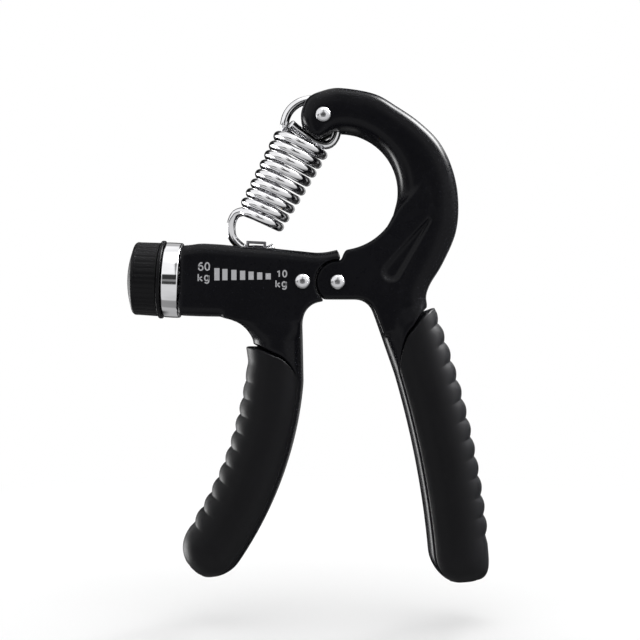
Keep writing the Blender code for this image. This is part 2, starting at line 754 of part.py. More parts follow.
def build_lever_body(parts, cutters, look):
    """The housing and the core of the left handle, in one moulding."""
    body = prism(
        "lever_body",
        housing_outline(),
        -HOUSING_HALF_DEPTH,
        HOUSING_HALF_DEPTH,
        parts,
        look,
        PIVOT,
        HOUSING_BEVEL,
        lambda e: on_circle(CHEEK_R + GAP)(e) or all(v.co.z < NECK_TOP_Z + 0.05 for v in e.verts),
    )
    combine(body, loft("lever_core", lever_rings(), cutters, None), "UNION")
    reach = CHANNEL_HALF_WIDTH + GAP
    outline = channel_outline(GAP, PIVOT[0] + 1.7 * CHEEK_R)
    combine(body, prism("channel_tunnel", outline, -reach, reach, cutters, None), "DIFFERENCE")
    hook_left = slider_along() + SLIDER_TRAVEL[0] - BRIDGE_HALF_LENGTH - 6.6
    hook_right = slider_along() + SLIDER_TRAVEL[1] + BRIDGE_HALF_LENGTH + 4.2
    slot = (hook_left, hook_right, 0.0, 20.0, SLOT_HALF_WIDTH)
    combine(body, axis_box(*slot, "hook_slot", cutters), "DIFFERENCE")
    direction = flat(on_axis(1)) - flat(on_axis(0))
    bore = FRONT_BUSH_R + GAP
    profile = ((0.0, 16.0), (bore, 16.0), (bore, 0.0), (0.0, 0.0))
    mouth = turned("bush_bore", profile, cutters, None, flat(on_axis(-4)), direction, 28)
    combine(body, mouth, "DIFFERENCE")
    combine(body, pin_bore("frame_bore", FRAME_RIVET, PIN_R + GAP, cutters), "DIFFERENCE")
    return body


def channel_outline(grow, past=None):
    """The channel's side view, grown by a gap. Past the pivot it has an eye or runs straight on."""
    start = CHANNEL_START - grow
    tall = CHANNEL_HALF_HEIGHT + grow
    eye = CHANNEL_EYE_R + grow
    knee = along_axis(PIVOT[0]) - CHANNEL_KNEE
    points = [on_axis(start, tall), on_axis(start, -tall), on_axis(knee, -tall)]
    if past is None:
        points += arc(PIVOT, eye, -118, 97, 14)
    else:
        low = polar(PIVOT, eye, -118)
        high = polar(PIVOT, eye, 97)
        points += [low, (past, low[1]), (past, PIVOT[1] + eye), (high[0], PIVOT[1] + eye)]
    points.append(on_axis(knee, tall))
    return points


def build_channel(parts, cutters, look):
    """The folded steel channel that carries the screw and forms the pivot's tongue."""
    start = CHANNEL_START
    tall = CHANNEL_HALF_HEIGHT
    outline = channel_outline(0.0)
    wide = CHANNEL_HALF_WIDTH
    body = prism("channel", outline, -wide, wide, parts, look, PIVOT)
    inner = wide - CHANNEL_WALL
    trough = axis_box(start - 5, start + 80, -tall + CHANNEL_WALL, tall + 30, inner, "trough", cutters)
    combine(body, trough, "DIFFERENCE")
    combine(body, pin_bore("channel_pivot_bore", PIVOT, SLEEVE_R + GAP, cutters), "DIFFERENCE")
    combine(body, pin_bore("channel_frame_bore", FRAME_RIVET, PIN_R + GAP, cutters), "DIFFERENCE")
    return body


def rivet_profile(half_length):
    """A shank with a domed head at each end."""
    dome = [(HEAD_R * cos(t * pi / 8), half_length + HEAD_HEIGHT * sin(t * pi / 8)) for t in (3, 2, 1, 0)]
    top = [(0.0, half_length + HEAD_HEIGHT)] + dome + [(PIN_R, half_length)]
    return top + [(r, -h) for r, h in reversed(top)]


def build_pins(parts, looks):
    """Rivets, the sleeve and washers on the pivot, and the bush on the tip pin."""
    steel = looks["rivet"]
    ring = looks["nylon"]
    arm_side = ARM_HALF_DEPTH + GAP
    lever_side = HOUSING_HALF_DEPTH + GAP
    turned("pivot_rivet", rivet_profile(arm_side + HUB_PROUD), parts, steel, flat(PIVOT), DEPTH, 20)
    turned("tip_rivet", rivet_profile(arm_side), parts, looks["tip_rivet"], flat(TIP_PIN), DEPTH, 20)
    steel = looks["frame_rivet"]
    turned("frame_rivet", rivet_profile(lever_side), parts, steel, flat(FRAME_RIVET), DEPTH, 20)
    inner = PIN_R + GAP
    reach = CHANNEL_HALF_WIDTH
    sleeve = ((SLEEVE_R, reach), (SLEEVE_R, -reach), (inner, -reach), (inner, reach))
    turned("pivot_sleeve", sleeve, parts, looks["brass"], flat(PIVOT), DEPTH, 20)
    low = CHANNEL_HALF_WIDTH + GAP
    high = low + WASHER_THICKNESS
    washer = ((WASHER_R, high), (WASHER_R, low), (inner, low), (inner, high))
    turned("pivot_washer_back", washer, parts, ring, flat(PIVOT), DEPTH, 24)
    turned("pivot_washer_front", washer, parts, looks["nylon_front"], flat(PIVOT), -DEPTH, 24)
    reach = FORK_SLOT / 2 - GAP
    bush = ((SPRING_BUSH_R, reach), (SPRING_BUSH_R, -reach), (inner, -reach), (inner, reach))
    turned("spring_bush", bush, parts, looks["bush"], flat(TIP_PIN), DEPTH, 20)


def build_screw_train(parts, cutters, looks):
    """The lead screw, its bushes and clip, the chrome ring, the knob and the slider."""
    direction = (flat(on_axis(1)) - flat(on_axis(0))).normalized()
    base = flat(on_axis(0))

    def on_screw(name, profile, look, steps=24):
        """A turned piece whose heights are distances along the knob's axis."""
        return turned(name, profile, parts, look, base, direction, steps)

    knob_face = -FLANGE_THICKNESS - 2 * GAP
    knob_left = knob_face - KNOB_LENGTH
    bush_end = FRONT_BUSH_START + FRONT_BUSH_LENGTH
    screw_start = knob_left + KNOB_SOCKET_DEPTH - 2.0
    thread = screw_thread(bush_end + CLIP_THICKNESS + 3 * GAP, END_BUSH_START - 2 * GAP)
    low = SCREW_R - THREAD_DEPTH
    profile = [(0.0, SCREW_END), (low, SCREW_END)] + thread
    profile += [(low, screw_start), (0.0, screw_start)]
    on_screw("lead_screw", profile, looks["screw"], 16)

    hole = SCREW_R + GAP
    ends = (bush_end, FRONT_BUSH_START)
    profile = [(FRONT_BUSH_R, ends[0]), (FRONT_BUSH_R, ends[1]), (hole, ends[1]), (hole, ends[0])]
    on_screw("front_bush", profile, looks["brass"])
    ends = (END_BUSH_START + END_BUSH_LENGTH, END_BUSH_START)
    outer = CHANNEL_HALF_WIDTH - CHANNEL_WALL - GAP
    profile = [(outer, ends[0]), (outer, ends[1]), (hole, ends[1]), (hole, ends[0])]
    on_screw("end_bush", profile, looks["end_bush"], 20)
    ends = (bush_end + GAP + CLIP_THICKNESS, bush_end + GAP)
    inner = SCREW_R + GAP / 2
    profile = [(CLIP_R, ends[0]), (CLIP_R, ends[1]), (inner, ends[1]), (inner, ends[0])]
    clip = on_screw("retaining_clip", profile, looks["clip"])
    mouth = (ends[1] - 1, ends[0] + 1, -5.0, 0.0, 1.1)
    combine(clip, axis_box(*mouth, "clip_mouth", cutters), "DIFFERENCE")

    inside = RING_R - RING_WALL
    edge = 0.4
    profile = [(RING_R - edge, RING_WIDTH), (RING_R, RING_WIDTH - edge), (RING_R, edge), (RING_R - edge, 0.0)]
    hole = FRONT_BUSH_R + 2 * GAP
    profile += [(hole, 0.0), (hole, RING_WALL), (inside, RING_WALL), (inside, RING_WIDTH)]
    on_screw("chrome_ring", profile, looks["chrome"], 40)
    face = -GAP
    back = face - FLANGE_THICKNESS
    profile = [(FLANGE_R - 0.2, face), (FLANGE_R, face - 0.2), (FLANGE_R, back + 0.4), (FLANGE_R - 0.4, back)]
    hole = SCREW_R + GAP
    profile += [(hole, back), (hole, face)]
    on_screw("knob_flange", profile, looks["flange"], 40)
    build_knob(parts, looks, base, direction, knob_face, knob_left)
    build_slider(parts, cutters, looks)


def screw_thread(start, end):
    """Profile points of a ridged shaft that stands for the thread, from the far end back."""
    low = SCREW_R - THREAD_DEPTH
    count = int((end - start) / THREAD_PITCH)
    made = [(low, end), (SCREW_R, end - 0.3 * THREAD_PITCH)]
    for i in range(1, count):
        crest = end - i * THREAD_PITCH
        made += [(low, crest), (SCREW_R, crest - 0.3 * THREAD_PITCH)]
    made.append((low, start))
    return made


def build_knob(parts, looks, base, direction, face, left):
    """The ribbed knob with a domed end, a socket, the screw that holds it, and its cap."""
    dome_r = KNOB_R - KNOB_RIM_R
    hole = SCREW_R + GAP
    profile = [(hole, face), (KNOB_R, face), (KNOB_R - 0.15, left + KNOB_RIM_R)]
    profile += [(dome_r + KNOB_RIM_R * cos(t), left - KNOB_RIM_R * (sin(t) - 1)) for t in (0.6, 1.1)]
    cap_r = KNOB_SOCKET_R + GAP
    for r in (dome_r, dome_r * 0.75, cap_r):
        profile.append((r, left - KNOB_DOME * (1 - (r / dome_r) ** 2) - 0.1))
    socket_floor = left + KNOB_SOCKET_DEPTH
    profile += [(cap_r, socket_floor), (hole, socket_floor)]
    turned("knob", profile, parts, looks["knob"], base, direction, KNOB_RIBS)
    profile = []
    for r in (KNOB_SOCKET_R, KNOB_SOCKET_R * 0.5, 0.0):
        profile.append((r, left - KNOB_DOME * (1 - (r / dome_r) ** 2) - 0.1))
    inner = left - 0.6
    profile = [(0.0, inner), (KNOB_SOCKET_R, inner)] + profile
    turned("knob_cap", profile, parts, looks["cap"], base, direction, 24)
    screw_r = SCREW_R - THREAD_DEPTH
    tip = left + KNOB_SOCKET_DEPTH - 2.0 - GAP
    profile = [(0.0, tip), (screw_r, tip), (screw_r, tip - 0.2), (KNOB_SCREW_HEAD_R, tip - 0.2)]
    profile += [(KNOB_SCREW_HEAD_R, tip - 1.6), (0.0, tip - 1.6)]
    turned("knob_screw", profile, parts, looks["knob_screw"], base, direction, 20)


def build_slider(parts, cutters, looks):
    """The nut on the lead screw, and the steel bridge over the housing that holds the hook."""
    middle = slider_along()
    nut = prism(
        "slider_nut",
        [
            on_axis(middle - NUT_HALF_LENGTH, -NUT_HALF_HEIGHT),
            on_axis(middle + NUT_HALF_LENGTH, -NUT_HALF_HEIGHT),
            on_axis(middle + NUT_HALF_LENGTH, NUT_HALF_HEIGHT),
            on_axis(middle - NUT_HALF_LENGTH, NUT_HALF_HEIGHT),
        ],
        -NUT_HALF_WIDTH,
        NUT_HALF_WIDTH,
        parts,
        looks["nut"],
        on_axis(middle),
        0.3,
    )
    direction = (flat(on_axis(1)) - flat(on_axis(0))).normalized()
    hole = SCREW_R + GAP
    reach = 12.0
    profile = ((0.0, reach), (hole, reach), (hole, -reach), (0.0, -reach))
    bore = turned("nut_bore", profile, cutters, None, flat(on_axis(middle)), direction, 20)
    combine(nut, bore, "DIFFERENCE")
    low = NUT_HALF_HEIGHT + GAP
    bridge = prism(
        "slider_bridge",
        [
            on_axis(middle - BRIDGE_HALF_LENGTH, low),
            on_axis(middle + BRIDGE_HALF_LENGTH, low),
            on_axis(middle + BRIDGE_HALF_LENGTH, BRIDGE_TOP),
            on_axis(middle - BRIDGE_HALF_LENGTH, BRIDGE_TOP),
        ],
        -NUT_HALF_WIDTH,
        NUT_HALF_WIDTH,
        parts,
        looks["bridge"],
        on_axis(middle),
        0.3,
    )
    hole = WIRE_R + GAP
    profile = ((0.0, reach), (hole, reach), (hole, -reach), (0.0, -reach))
    eye = turned("hook_eye", profile, cutters, None, flat(on_axis(middle, HOOK_HEIGHT)), direction, 16)
    combine(bridge, eye, "DIFFERENCE")
    play = (middle - reach, middle + reach, HOOK_HEIGHT - HOOK_PLAY, HOOK_HEIGHT, hole)
    combine(bridge, axis_box(*play, "hook_play", cutters), "DIFFERENCE")


def coil_point(turn):
    """A point of the coil after a number of turns from its top, on the right-hand side."""
    tilt = radians(COIL_TILT)
    down = Vector((-sin(tilt), 0.0, -cos(tilt)))
    right = Vector((cos(tilt), 0.0, -sin(tilt)))
    share = turn / COIL_TURNS
    radius = COIL_TOP_R + (COIL_BOTTOM_R - COIL_TOP_R) * share
    angle = -2 * pi * turn
    centre = flat(COIL_TOP) + down * COIL_PITCH * turn
    return centre + right * radius * cos(angle) + DEPTH * radius * sin(angle)


def spring_path():
    """The wire's centreline: cut end, full loop, coil, and the hook that runs under the bridge."""
    path = [Vector(p) for p in LOOP_END]
    path += [flat(p) for p in arc(LOOP_CENTRE, LOOP_R, -24, 176, 12)]
    path += [Vector(p) for p in LOOP_TO_COIL]
    first = -4
    last = int(COIL_TURNS * POINTS_PER_TURN)
    path += [coil_point(i / POINTS_PER_TURN) for i in range(first + 1, last + 1)]
    path += [Vector(p) for p in COIL_TO_HOOK]
    eye = slider_along()
    for along in (-BRIDGE_HALF_LENGTH - 0.6, 0.0, BRIDGE_HALF_LENGTH + 0.6):
        path.append(flat(on_axis(eye + along, HOOK_HEIGHT)))
    path.append(flat(on_axis(eye + BRIDGE_HALF_LENGTH + 2.6, HOOK_HEIGHT + 0.9)))
    return path


def least_gap(path, radius):
    """The smallest gap between two stretches of a wire that lie apart along it."""
    points = []
    for a, b in zip(path, path[1:]):
        points += [a.lerp(b, i / 8) for i in range(8)]
    spots = np.array(points)
    steps = np.linalg.norm(np.diff(spots, axis=0), axis=1)
    run = np.concatenate(([0.0], np.cumsum(steps)))
    distance = np.linalg.norm(spots[:, None] - spots[None], axis=2)
    apart = np.abs(run[:, None] - run[None]) > 6 * radius
    return distance[apart].min() - 2 * radius


def build_spring(parts, look):
    """One unbroken wire."""
    curve = bpy.data.curves.new("spring", "CURVE")
    curve.dimensions = "3D"
    curve.bevel_depth = WIRE_R * MM
    curve.bevel_resolution = 1
    curve.use_fill_caps = True
    points = spring_path()
    line = curve.splines.new("POLY")
    line.points.add(len(points) - 1)
    for spot, point in zip(line.points, points):
        spot.co = (*(point * MM), 1.0)
    made = bpy.data.objects.new("spring", curve)
    curve.materials.append(look)
    parts.objects.link(made)
    print(f"spring: least gap to itself {least_gap(points, WIRE_R):.2f} mm")


def main():
    """Builds every piece."""
    clear_scene()
    parts = new_collection("hand_gripper")
    cutters = new_collection("cutters")
    looks = {
        "rivet": material("pivot_rivet_nickel", (0.72, 0.72, 0.73), 0.2, 1.0),
        "tip_rivet": material("tip_rivet_nickel", (0.72, 0.72, 0.73), 0.2, 1.0),
        "frame_rivet": material("frame_rivet_nickel", (0.72, 0.72, 0.73), 0.2, 1.0),
        "nylon": material("washer_nylon_back", (0.75, 0.74, 0.7), 0.5),
        "nylon_front": material("washer_nylon_front", (0.75, 0.74, 0.7), 0.5),
        "bush": material("bush_nylon", (0.1, 0.1, 0.1), 0.5),
        "brass": material("bush_brass", (0.7, 0.52, 0.25), 0.35, 1.0),
        "end_bush": material("end_bush_brass", (0.7, 0.52, 0.25), 0.35, 1.0),
        "screw": material("screw_steel", (0.6, 0.6, 0.6), 0.3, 1.0),
        "knob_screw": material("knob_screw_steel", (0.5, 0.5, 0.5), 0.3, 1.0),
        "clip": material("clip_steel", (0.35, 0.35, 0.36), 0.4, 1.0),
        "chrome": material("ring_chrome", (0.8, 0.8, 0.8), 0.08, 1.0),
        "flange": material("flange_plastic", (0.01, 0.01, 0.01), 0.45),
        "knob": material("knob_plastic", (0.012, 0.012, 0.012), 0.45),
        "cap": material("cap_plastic", (0.012, 0.012, 0.012), 0.4),
        "nut": material("nut_brass", (0.7, 0.52, 0.25), 0.35, 1.0),
        "bridge": material("bridge_steel", (0.6, 0.6, 0.6), 0.3, 1.0),
    }
    build_arm_body(parts, cutters, material("arm_plastic", (0.01, 0.01, 0.012), 0.35))
    build_lever_body(parts, cutters, material("lever_plastic", (0.01, 0.01, 0.012), 0.35))
    rubber = material("arm_grip_rubber", (0.014, 0.014, 0.015), 0.7)
    loft("arm_grip", RIGHT.grip_rings(), parts, rubber, two_sided=True)
    rubber = material("lever_grip_rubber", (0.014, 0.014, 0.015), 0.7)
    loft("lever_grip", LEFT.grip_rings(), parts, rubber, PIVOT, two_sided=True)
    build_channel(parts, cutters, material("channel_steel", (0.45, 0.45, 0.46), 0.4, 1.0))
    build_pins(parts, looks)
    build_screw_train(parts, cutters, looks)
    build_spring(parts, material("spring_chrome", (0.75, 0.75, 0.76), 0.12, 1.0))


main()
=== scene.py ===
"""Looks of an adjustable hand gripper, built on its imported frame.

The frame gives the moving bodies. This script adds the fine visible surfaces: moulded arm and
lever, rubber grips, chrome spring and ring, ribbed knob, rivets, slider bridge and the printed
load scale. Sizes are in millimetres; each finished piece is brought to metres at the origin.
"""

import logging
from collections.abc import Callable, Sequence
from dataclasses import dataclass
from enum import Enum
from functools import cache
from math import atan2, cos, hypot, pi, radians, sin, tan

import bmesh
import bpy
import numpy as np
from mathutils import Matrix, Vector


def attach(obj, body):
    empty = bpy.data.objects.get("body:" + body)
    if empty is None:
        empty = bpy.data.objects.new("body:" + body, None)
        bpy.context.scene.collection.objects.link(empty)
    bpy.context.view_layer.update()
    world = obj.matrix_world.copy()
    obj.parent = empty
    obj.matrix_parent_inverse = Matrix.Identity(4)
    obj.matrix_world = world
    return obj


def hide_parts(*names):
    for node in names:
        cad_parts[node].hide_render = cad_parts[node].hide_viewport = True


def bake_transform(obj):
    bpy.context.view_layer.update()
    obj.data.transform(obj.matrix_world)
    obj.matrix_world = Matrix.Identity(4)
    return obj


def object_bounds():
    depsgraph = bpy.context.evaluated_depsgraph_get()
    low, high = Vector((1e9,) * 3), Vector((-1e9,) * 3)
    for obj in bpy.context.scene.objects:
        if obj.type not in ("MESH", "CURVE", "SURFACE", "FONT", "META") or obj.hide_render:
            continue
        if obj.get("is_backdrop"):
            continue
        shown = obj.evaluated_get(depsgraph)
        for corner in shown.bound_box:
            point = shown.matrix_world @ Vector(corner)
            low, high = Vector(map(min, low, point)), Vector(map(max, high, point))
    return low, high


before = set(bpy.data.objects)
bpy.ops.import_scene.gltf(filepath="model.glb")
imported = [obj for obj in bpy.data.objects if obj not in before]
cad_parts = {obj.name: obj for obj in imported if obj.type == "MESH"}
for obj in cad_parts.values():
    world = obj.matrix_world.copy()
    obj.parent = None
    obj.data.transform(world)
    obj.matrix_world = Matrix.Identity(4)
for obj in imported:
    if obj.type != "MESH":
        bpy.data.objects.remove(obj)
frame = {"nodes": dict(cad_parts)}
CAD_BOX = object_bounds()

Point = tuple[float, float]
Spot = tuple[float, float, float]
Edges = tuple[tuple[Point, Point], ...]
Array = np.ndarray
Amount = np.ndarray | float
Piece = bpy.types.Object
Tree = bpy.types.NodeTree
Node = bpy.types.Node

log = logging.getLogger("gripper")

MM = 0.001
# Room in metres between feet and floor: the left foot swings 12 mm below the right one when the
# handles are squeezed.
FOOT_ROOM = 0.0135
WHITE = (1.0, 1.0, 1.0, 1.0)
# How far a cutter stands out past what it cuts through.
OVERCUT = 1.0
# Half the length of a cutter that goes right through a moulding.
THROUGH = 14.0
# Distance from a line or circle, in millimetres, at which a point still counts as on it.
NEAR = 0.05
# Radius at which a turned form is closed on its axis.
POLE = 0.001
# Rounds of smoothing for the fillets where a moulding's forms meet, and for its cut edges.
FILLET_ROUNDS = 14
EDGE_ROUNDS = 4


class Surface(Enum):
    """How a finish looks up close."""

    MOULDED = "moulded"
    RUBBER = "rubber"
    PLATED = "plated"
    TURNED = "turned"
    INK = "ink"


@dataclass(frozen=True)
class Finish:
    """A real material: its colour, gloss and the size of its detail."""

    name: str
    surface: Surface
    colour: str  # sRGB colour as a hex string.
    shade: str  # Second sRGB colour, which the first one drifts towards.
    roughness: float
    slot: str  # Material slot of the record.
    spread: float = 0.05  # How far roughness drifts either way.
    metallic: float = 0.0
    specular: float = 0.5
    grain: float = 0.3  # Size of the fine relief, in millimetres.
    relief: float = 0.01  # Height of the fine relief, in millimetres.
    bump: float = 0.6  # Strength of the relief.
    drift: float = 18.0  # Size of the clouds of colour, in millimetres.
    patch: float = 6.0  # Size of the patches of roughness, in grains.
    # Sums of clouds and patches at which the roughness is lowest and highest.
    blotch: Point = (0.6, 1.4)
    smoothest: float = 0.02  # Lowest roughness of any finish.
    drawn: Spot = (0.12, 1.0, 1.0)  # Scale of the detail along X, Y and Z on a turned surface.
    softness: float = 0.55  # Roughness of the noise.

    @cache
    def build(self) -> bpy.types.Material:
        """Makes the procedural material, the first time that it is asked for.

        Fine relief comes from noise in Object coordinates at the grain's real size. Wider noise
        drifts the colour, and together with patches of some grains it drifts the roughness. On
        a turned surface all noise is drawn out along X.

        Returns:
            The Blender material.
        """
        made = bpy.data.materials.new(self.name)
        made.use_nodes = True
        tree = made.node_tree
        shader = tree.nodes["Principled BSDF"]
        shader.inputs["Metallic"].default_value = self.metallic
        shader.inputs["Specular IOR Level"].default_value = self.specular
        place = add_node(tree, "TexCoord").outputs["Object"]
        if self.surface is Surface.TURNED:
            place = add_node(tree, "Mapping", {"Vector": place, "Scale": self.drawn})
        sizes = ((self.grain, 3.0), (self.drift, 4.0), (self.grain * self.patch, 2.0))
        inputs = [
            {"Vector": place, "Scale": 1 / (s * MM), "Detail": d, "Roughness": self.softness}
            for s, d in sizes
        ]
        fine, wide, patches = (add_node(tree, "TexNoise", row) for row in inputs)
        mixed = add_node(tree, "MixRGB", (wide, linear(self.colour), linear(self.shade)))
        tree.links.new(mixed.outputs["Color"], shader.inputs["Base Color"])
        both = add_node(tree, "Math", (wide, patches), operation="ADD")
        low = max(self.roughness - self.spread, self.smoothest)
        rough = add_node(tree, "MapRange", (both, *self.blotch, low, self.roughness + self.spread))
        tree.links.new(rough.outputs["Result"], shader.inputs["Roughness"])
        relief = {"Height": fine, "Distance": self.relief * MM, "Strength": self.bump}
        bump = add_node(tree, "Bump", relief)
        tree.links.new(bump.outputs["Normal"], shader.inputs["Normal"])
        return made


# Glass-filled nylon out of a spark-eroded mould: the eye gets a deep black with a soft, slightly
# cloudy sheen on edges. The grain is 0.3 mm, about twice the real one, so that it can be seen.
MOULDED_PLASTIC = Finish(
    "moulded_nylon_black", Surface.MOULDED, "#09090c", "#0d0d11", 0.27, "moulded_plastic",
    specular=0.12, relief=0.005,
)
# Soft thermoplastic rubber: darker and flatter than the plastic beside it, with a dusty bloom
# that widens each highlight. Pores are 0.28 mm.
GRIP_RUBBER = Finish(
    "thermoplastic_rubber_black", Surface.RUBBER, "#09090b", "#0d0d10", 0.46, "grip_rubber",
    spread=0.07, specular=0.14, grain=0.28, relief=0.014,
)
# Black acrylonitrile plastic of the knob: plain black, a little matter than the housing, so that
# the fine ribs read as a faint stripe. Grain 0.3 mm.
KNOB_PLASTIC = Finish(
    "knob_plastic_black", Surface.MOULDED, "#0a0a0c", "#0e0e10", 0.36, "knob_plastic",
    specular=0.12, relief=0.006,
)
# Bright chrome over polished steel: a mirror with hard black and white bands, and a hardly
# visible waviness 1.6 mm wide.
CHROME = Finish(
    "chrome_plate", Surface.PLATED, "#ececee", "#e0e0e2", 0.05, "chrome",
    spread=0.02, metallic=1.0, grain=1.6, relief=0.001,
)
# Drawn spring wire, plated: bright, with draw marks 1.1 mm long that soften the mirror a little.
SPRING_CHROME = Finish(
    "spring_wire_chrome", Surface.PLATED, "#ececee", "#d8d8da", 0.09, "spring_chrome",
    spread=0.03, metallic=1.0, grain=1.1, relief=0.003,
)
# Nickel-plated rivet steel: softer than chrome, so that the domed heads mirror the dark and the
# bright parts of the room as blurred patches.
NICKEL = Finish(
    "nickel_plate", Surface.PLATED, "#dddde0", "#cfcfd2", 0.2, "nickel",
    metallic=1.0, grain=0.7, relief=0.004,
)
# Zinc on folded or turned steel: grey with a faint grain 0.12 mm wide along the part.
ZINC = Finish(
    "zinc_plated_steel", Surface.TURNED, "#b4b4b8", "#9c9ca0", 0.3, "zinc_steel",
    spread=0.07, metallic=1.0, grain=0.12, relief=0.004,
)
# Oiled spring steel of the clip: dark grey with a dull shine.
DARK_STEEL = Finish(
    "oiled_spring_steel", Surface.TURNED, "#5a5a5c", "#48484a", 0.38, "dark_steel",
    metallic=1.0, grain=0.15, relief=0.003,
)
# Turned brass of nut and bushes: warm yellow with fine turning marks.
BRASS = Finish(
    "turned_brass", Surface.TURNED, "#c9a768", "#b79352", 0.28, "brass",
    metallic=1.0, grain=0.12, relief=0.004,
)
# Natural nylon of the washers: milky and slightly waxy.
NYLON = Finish(
    "natural_nylon", Surface.MOULDED, "#d6d3c8", "#cbc7ba", 0.45, "nylon",
    specular=0.4, grain=0.4, relief=0.004,
)
# Black nylon of the spring's bush: near black with a waxy edge light.
BLACK_NYLON = Finish(
    "black_nylon_bush", Surface.MOULDED, "#151516", "#1b1b1c", 0.42, "black_nylon",
    specular=0.3, grain=0.4, relief=0.004,
)
# Pad-printed ink: flat light grey that covers the plastic unevenly by a shade.
SCALE_INK = Finish(
    "pad_print_ink", Surface.INK, "#a8a8ab", "#99999c", 0.5, "moulded_plastic",
    specular=0.3, grain=0.2, relief=0.002,
)


def linear(colour: str) -> tuple[float, float, float, float]:
    """Turns a hex sRGB colour into linear values.

    Args:
        colour: Colour such as "#1a2b3c".

    Returns:
        Red, green, blue and alpha in linear light.
    """
    parts = [int(colour[i : i + 2], 16) / 255 for i in (1, 3, 5)]
    return (*[c / 12.92 if c <= 0.04045 else ((c + 0.055) / 1.055) ** 2.4 for c in parts], 1.0)


def add_node(
    tree: Tree, kind: str, inputs: dict[str, object] | Sequence[object] = (), **settings: object
) -> Node:
    """Adds a shader node with its settings and links.

    Args:
        tree: Node tree that takes it.
        kind: Blender's type of the node, without its ShaderNode start.
        inputs: What its inputs get, by name or in their order: a value, a socket to link from,
            or a node, whose first output is linked.
        settings: Attributes of the node.

    Returns:
        The node.
    """
    node = tree.nodes.new("ShaderNode" + kind)
    for name, value in settings.items():
        setattr(node, name, value)
    for name, value in inputs.items() if isinstance(inputs, dict) else enumerate(inputs):
        if isinstance(value, Node):
            value = value.outputs[0]
        if isinstance(value, bpy.types.NodeSocket):
            tree.links.new(value, node.inputs[name])
        else:
            node.inputs[name].default_value = value
    return node


@dataclass(frozen=True)
class Datums:
    """Places that several pieces share, as X and Z, and the knob's axis."""

    pivot: Point = (9.76, 97.27)
    tip_pin: Point = (5.27, 150.30)  # Middle of the rivet through the arm's fork.
    frame_rivet: Point = (-1.30, 97.40)  # Middle of the rivet through housing and channel.
    axis_point: Point = (-45.98, 98.27)  # Where the axis meets the chrome ring's left face.
    axis_tilt: float = 2.7  # Degrees by which the axis falls towards +X.
    gap: float = 0.3
    pin_r: float = 1.5  # Radius of the rivets' shanks.
    screw_r: float = 2.0
    slider_x: float = -17.1  # Where the slider stands in the photograph.
    hook_up: float = 11.2  # Height of the spring's hook over the axis.

    def on_axis(self, along: Amount, up: Amount = 0.0) -> Point:
        """Returns X and Z at a distance along the axis and a height over it, or arrays of both.

        Args:
            along: Distance from the axis's point.
            up: Height over the axis.

        Returns:
            The (X, Z) pair.
        """
        t = radians(self.axis_tilt)
        x = self.axis_point[0] + along * cos(t) + up * sin(t)
        return (x, self.axis_point[1] - along * sin(t) + up * cos(t))

    def along_axis(self, x: float) -> float:
        """Returns how far along the axis an X position lies."""
        return (x - self.axis_point[0]) / cos(radians(self.axis_tilt))

    def box(self, middle: float, half: float, low: float, high: float) -> list[Point]:
        """Returns the corners of a box square to the axis.

        Args:
            middle: Where along the axis its middle lies.
            half: Half its length.
            low: Height of its lower side over the axis.
            high: Height of its upper side.

        Returns:
            (X, Z) points.
        """
        corners = ((-half, low), (half, low), (half, high), (-half, high))
        return [self.on_axis(middle + along, up) for along, up in corners]

    @property
    def way(self) -> Array:
        """Unit vector along the axis."""
        return flat(self.on_axis(1)) - flat(self.on_axis(0))


DATUM = Datums()


def flat(point: Sequence[float], depth: float = 0.0) -> Array:
    """Returns the array [X, Y, Z] of an (X, Z) pair at a depth along Y."""
    return np.array([point[0], depth, point[1]], float)


def polar(centre: Point, radius: float, degrees: float) -> Point:
    """Returns a point on a circle in the X-Z plane; the angle runs from +X towards +Z."""
    return (centre[0] + radius * cos(radians(degrees)), centre[1] + radius * sin(radians(degrees)))


def clock(centre: Point, radius: float, degrees: float) -> Point:
    """Returns a point on a circle; the angle runs clockwise from straight up."""
    return polar(centre, radius, 90 - degrees)


def arc(centre: Point, radius: float, start: float, end: float, count: int) -> list[Point]:
    """Returns evenly spaced points on an arc, both ends included."""
    return [polar(centre, radius, start + (end - start) * i / count) for i in range(count + 1)]


def fillet(
    before: Point, corner: Point, after: Point, radius: float, count: int = 12
) -> list[Point]:
    """Rounds a corner between two straight edges by an arc that touches both.

    Args:
        before: Point on the first edge.
        corner: The corner.
        after: Point on the second edge.
        radius: Radius of the arc.
        count: Steps of the arc.

    Returns:
        The arc's points.
    """
    a = (Vector(before) - Vector(corner)).normalized()
    b = (Vector(after) - Vector(corner)).normalized()
    half = a.angle(b) / 2
    middle = Vector(corner) + (a + b).normalized() * (radius / sin(half))
    first = Vector(corner) + a * (radius / tan(half)) - middle
    last = Vector(corner) + b * (radius / tan(half)) - middle
    turn = first.angle_signed(last)
    start = atan2(first.y, first.x)
    steps = [start - turn * i / count for i in range(count + 1)]
    return [(middle.x + radius * cos(t), middle.y + radius * sin(t)) for t in steps]


def section(
    centre: Array,
    across: Array,
    half_width: Array,
    half_depth: Array,
    roundness: Amount,
    angle: Array,
) -> Array:
    """Computes points of rounded sections.

    The power of cosine and sine, 2 over the roundness, sets how square the section is: 2 gives
    an ellipse and larger numbers a squarer form.

    Args:
        centre: Middle points, an array whose last axis is X, Y, Z.
        across: Unit vectors towards the outer side, of the same shape.
        half_width: Half the width along across.
        half_depth: Half the depth along Y.
        roundness: The power's number.
        angle: Angles round the section.

    Returns:
        An array of points.
    """
    c = np.cos(angle)
    s = np.sin(angle)
    wide = half_width * np.sign(c) * np.abs(c) ** (2 / roundness)
    deep = half_depth * np.sign(s) * np.abs(s) ** (2 / roundness)
    points = centre + across * wide[..., None]
    points[..., 1] += deep
    return points


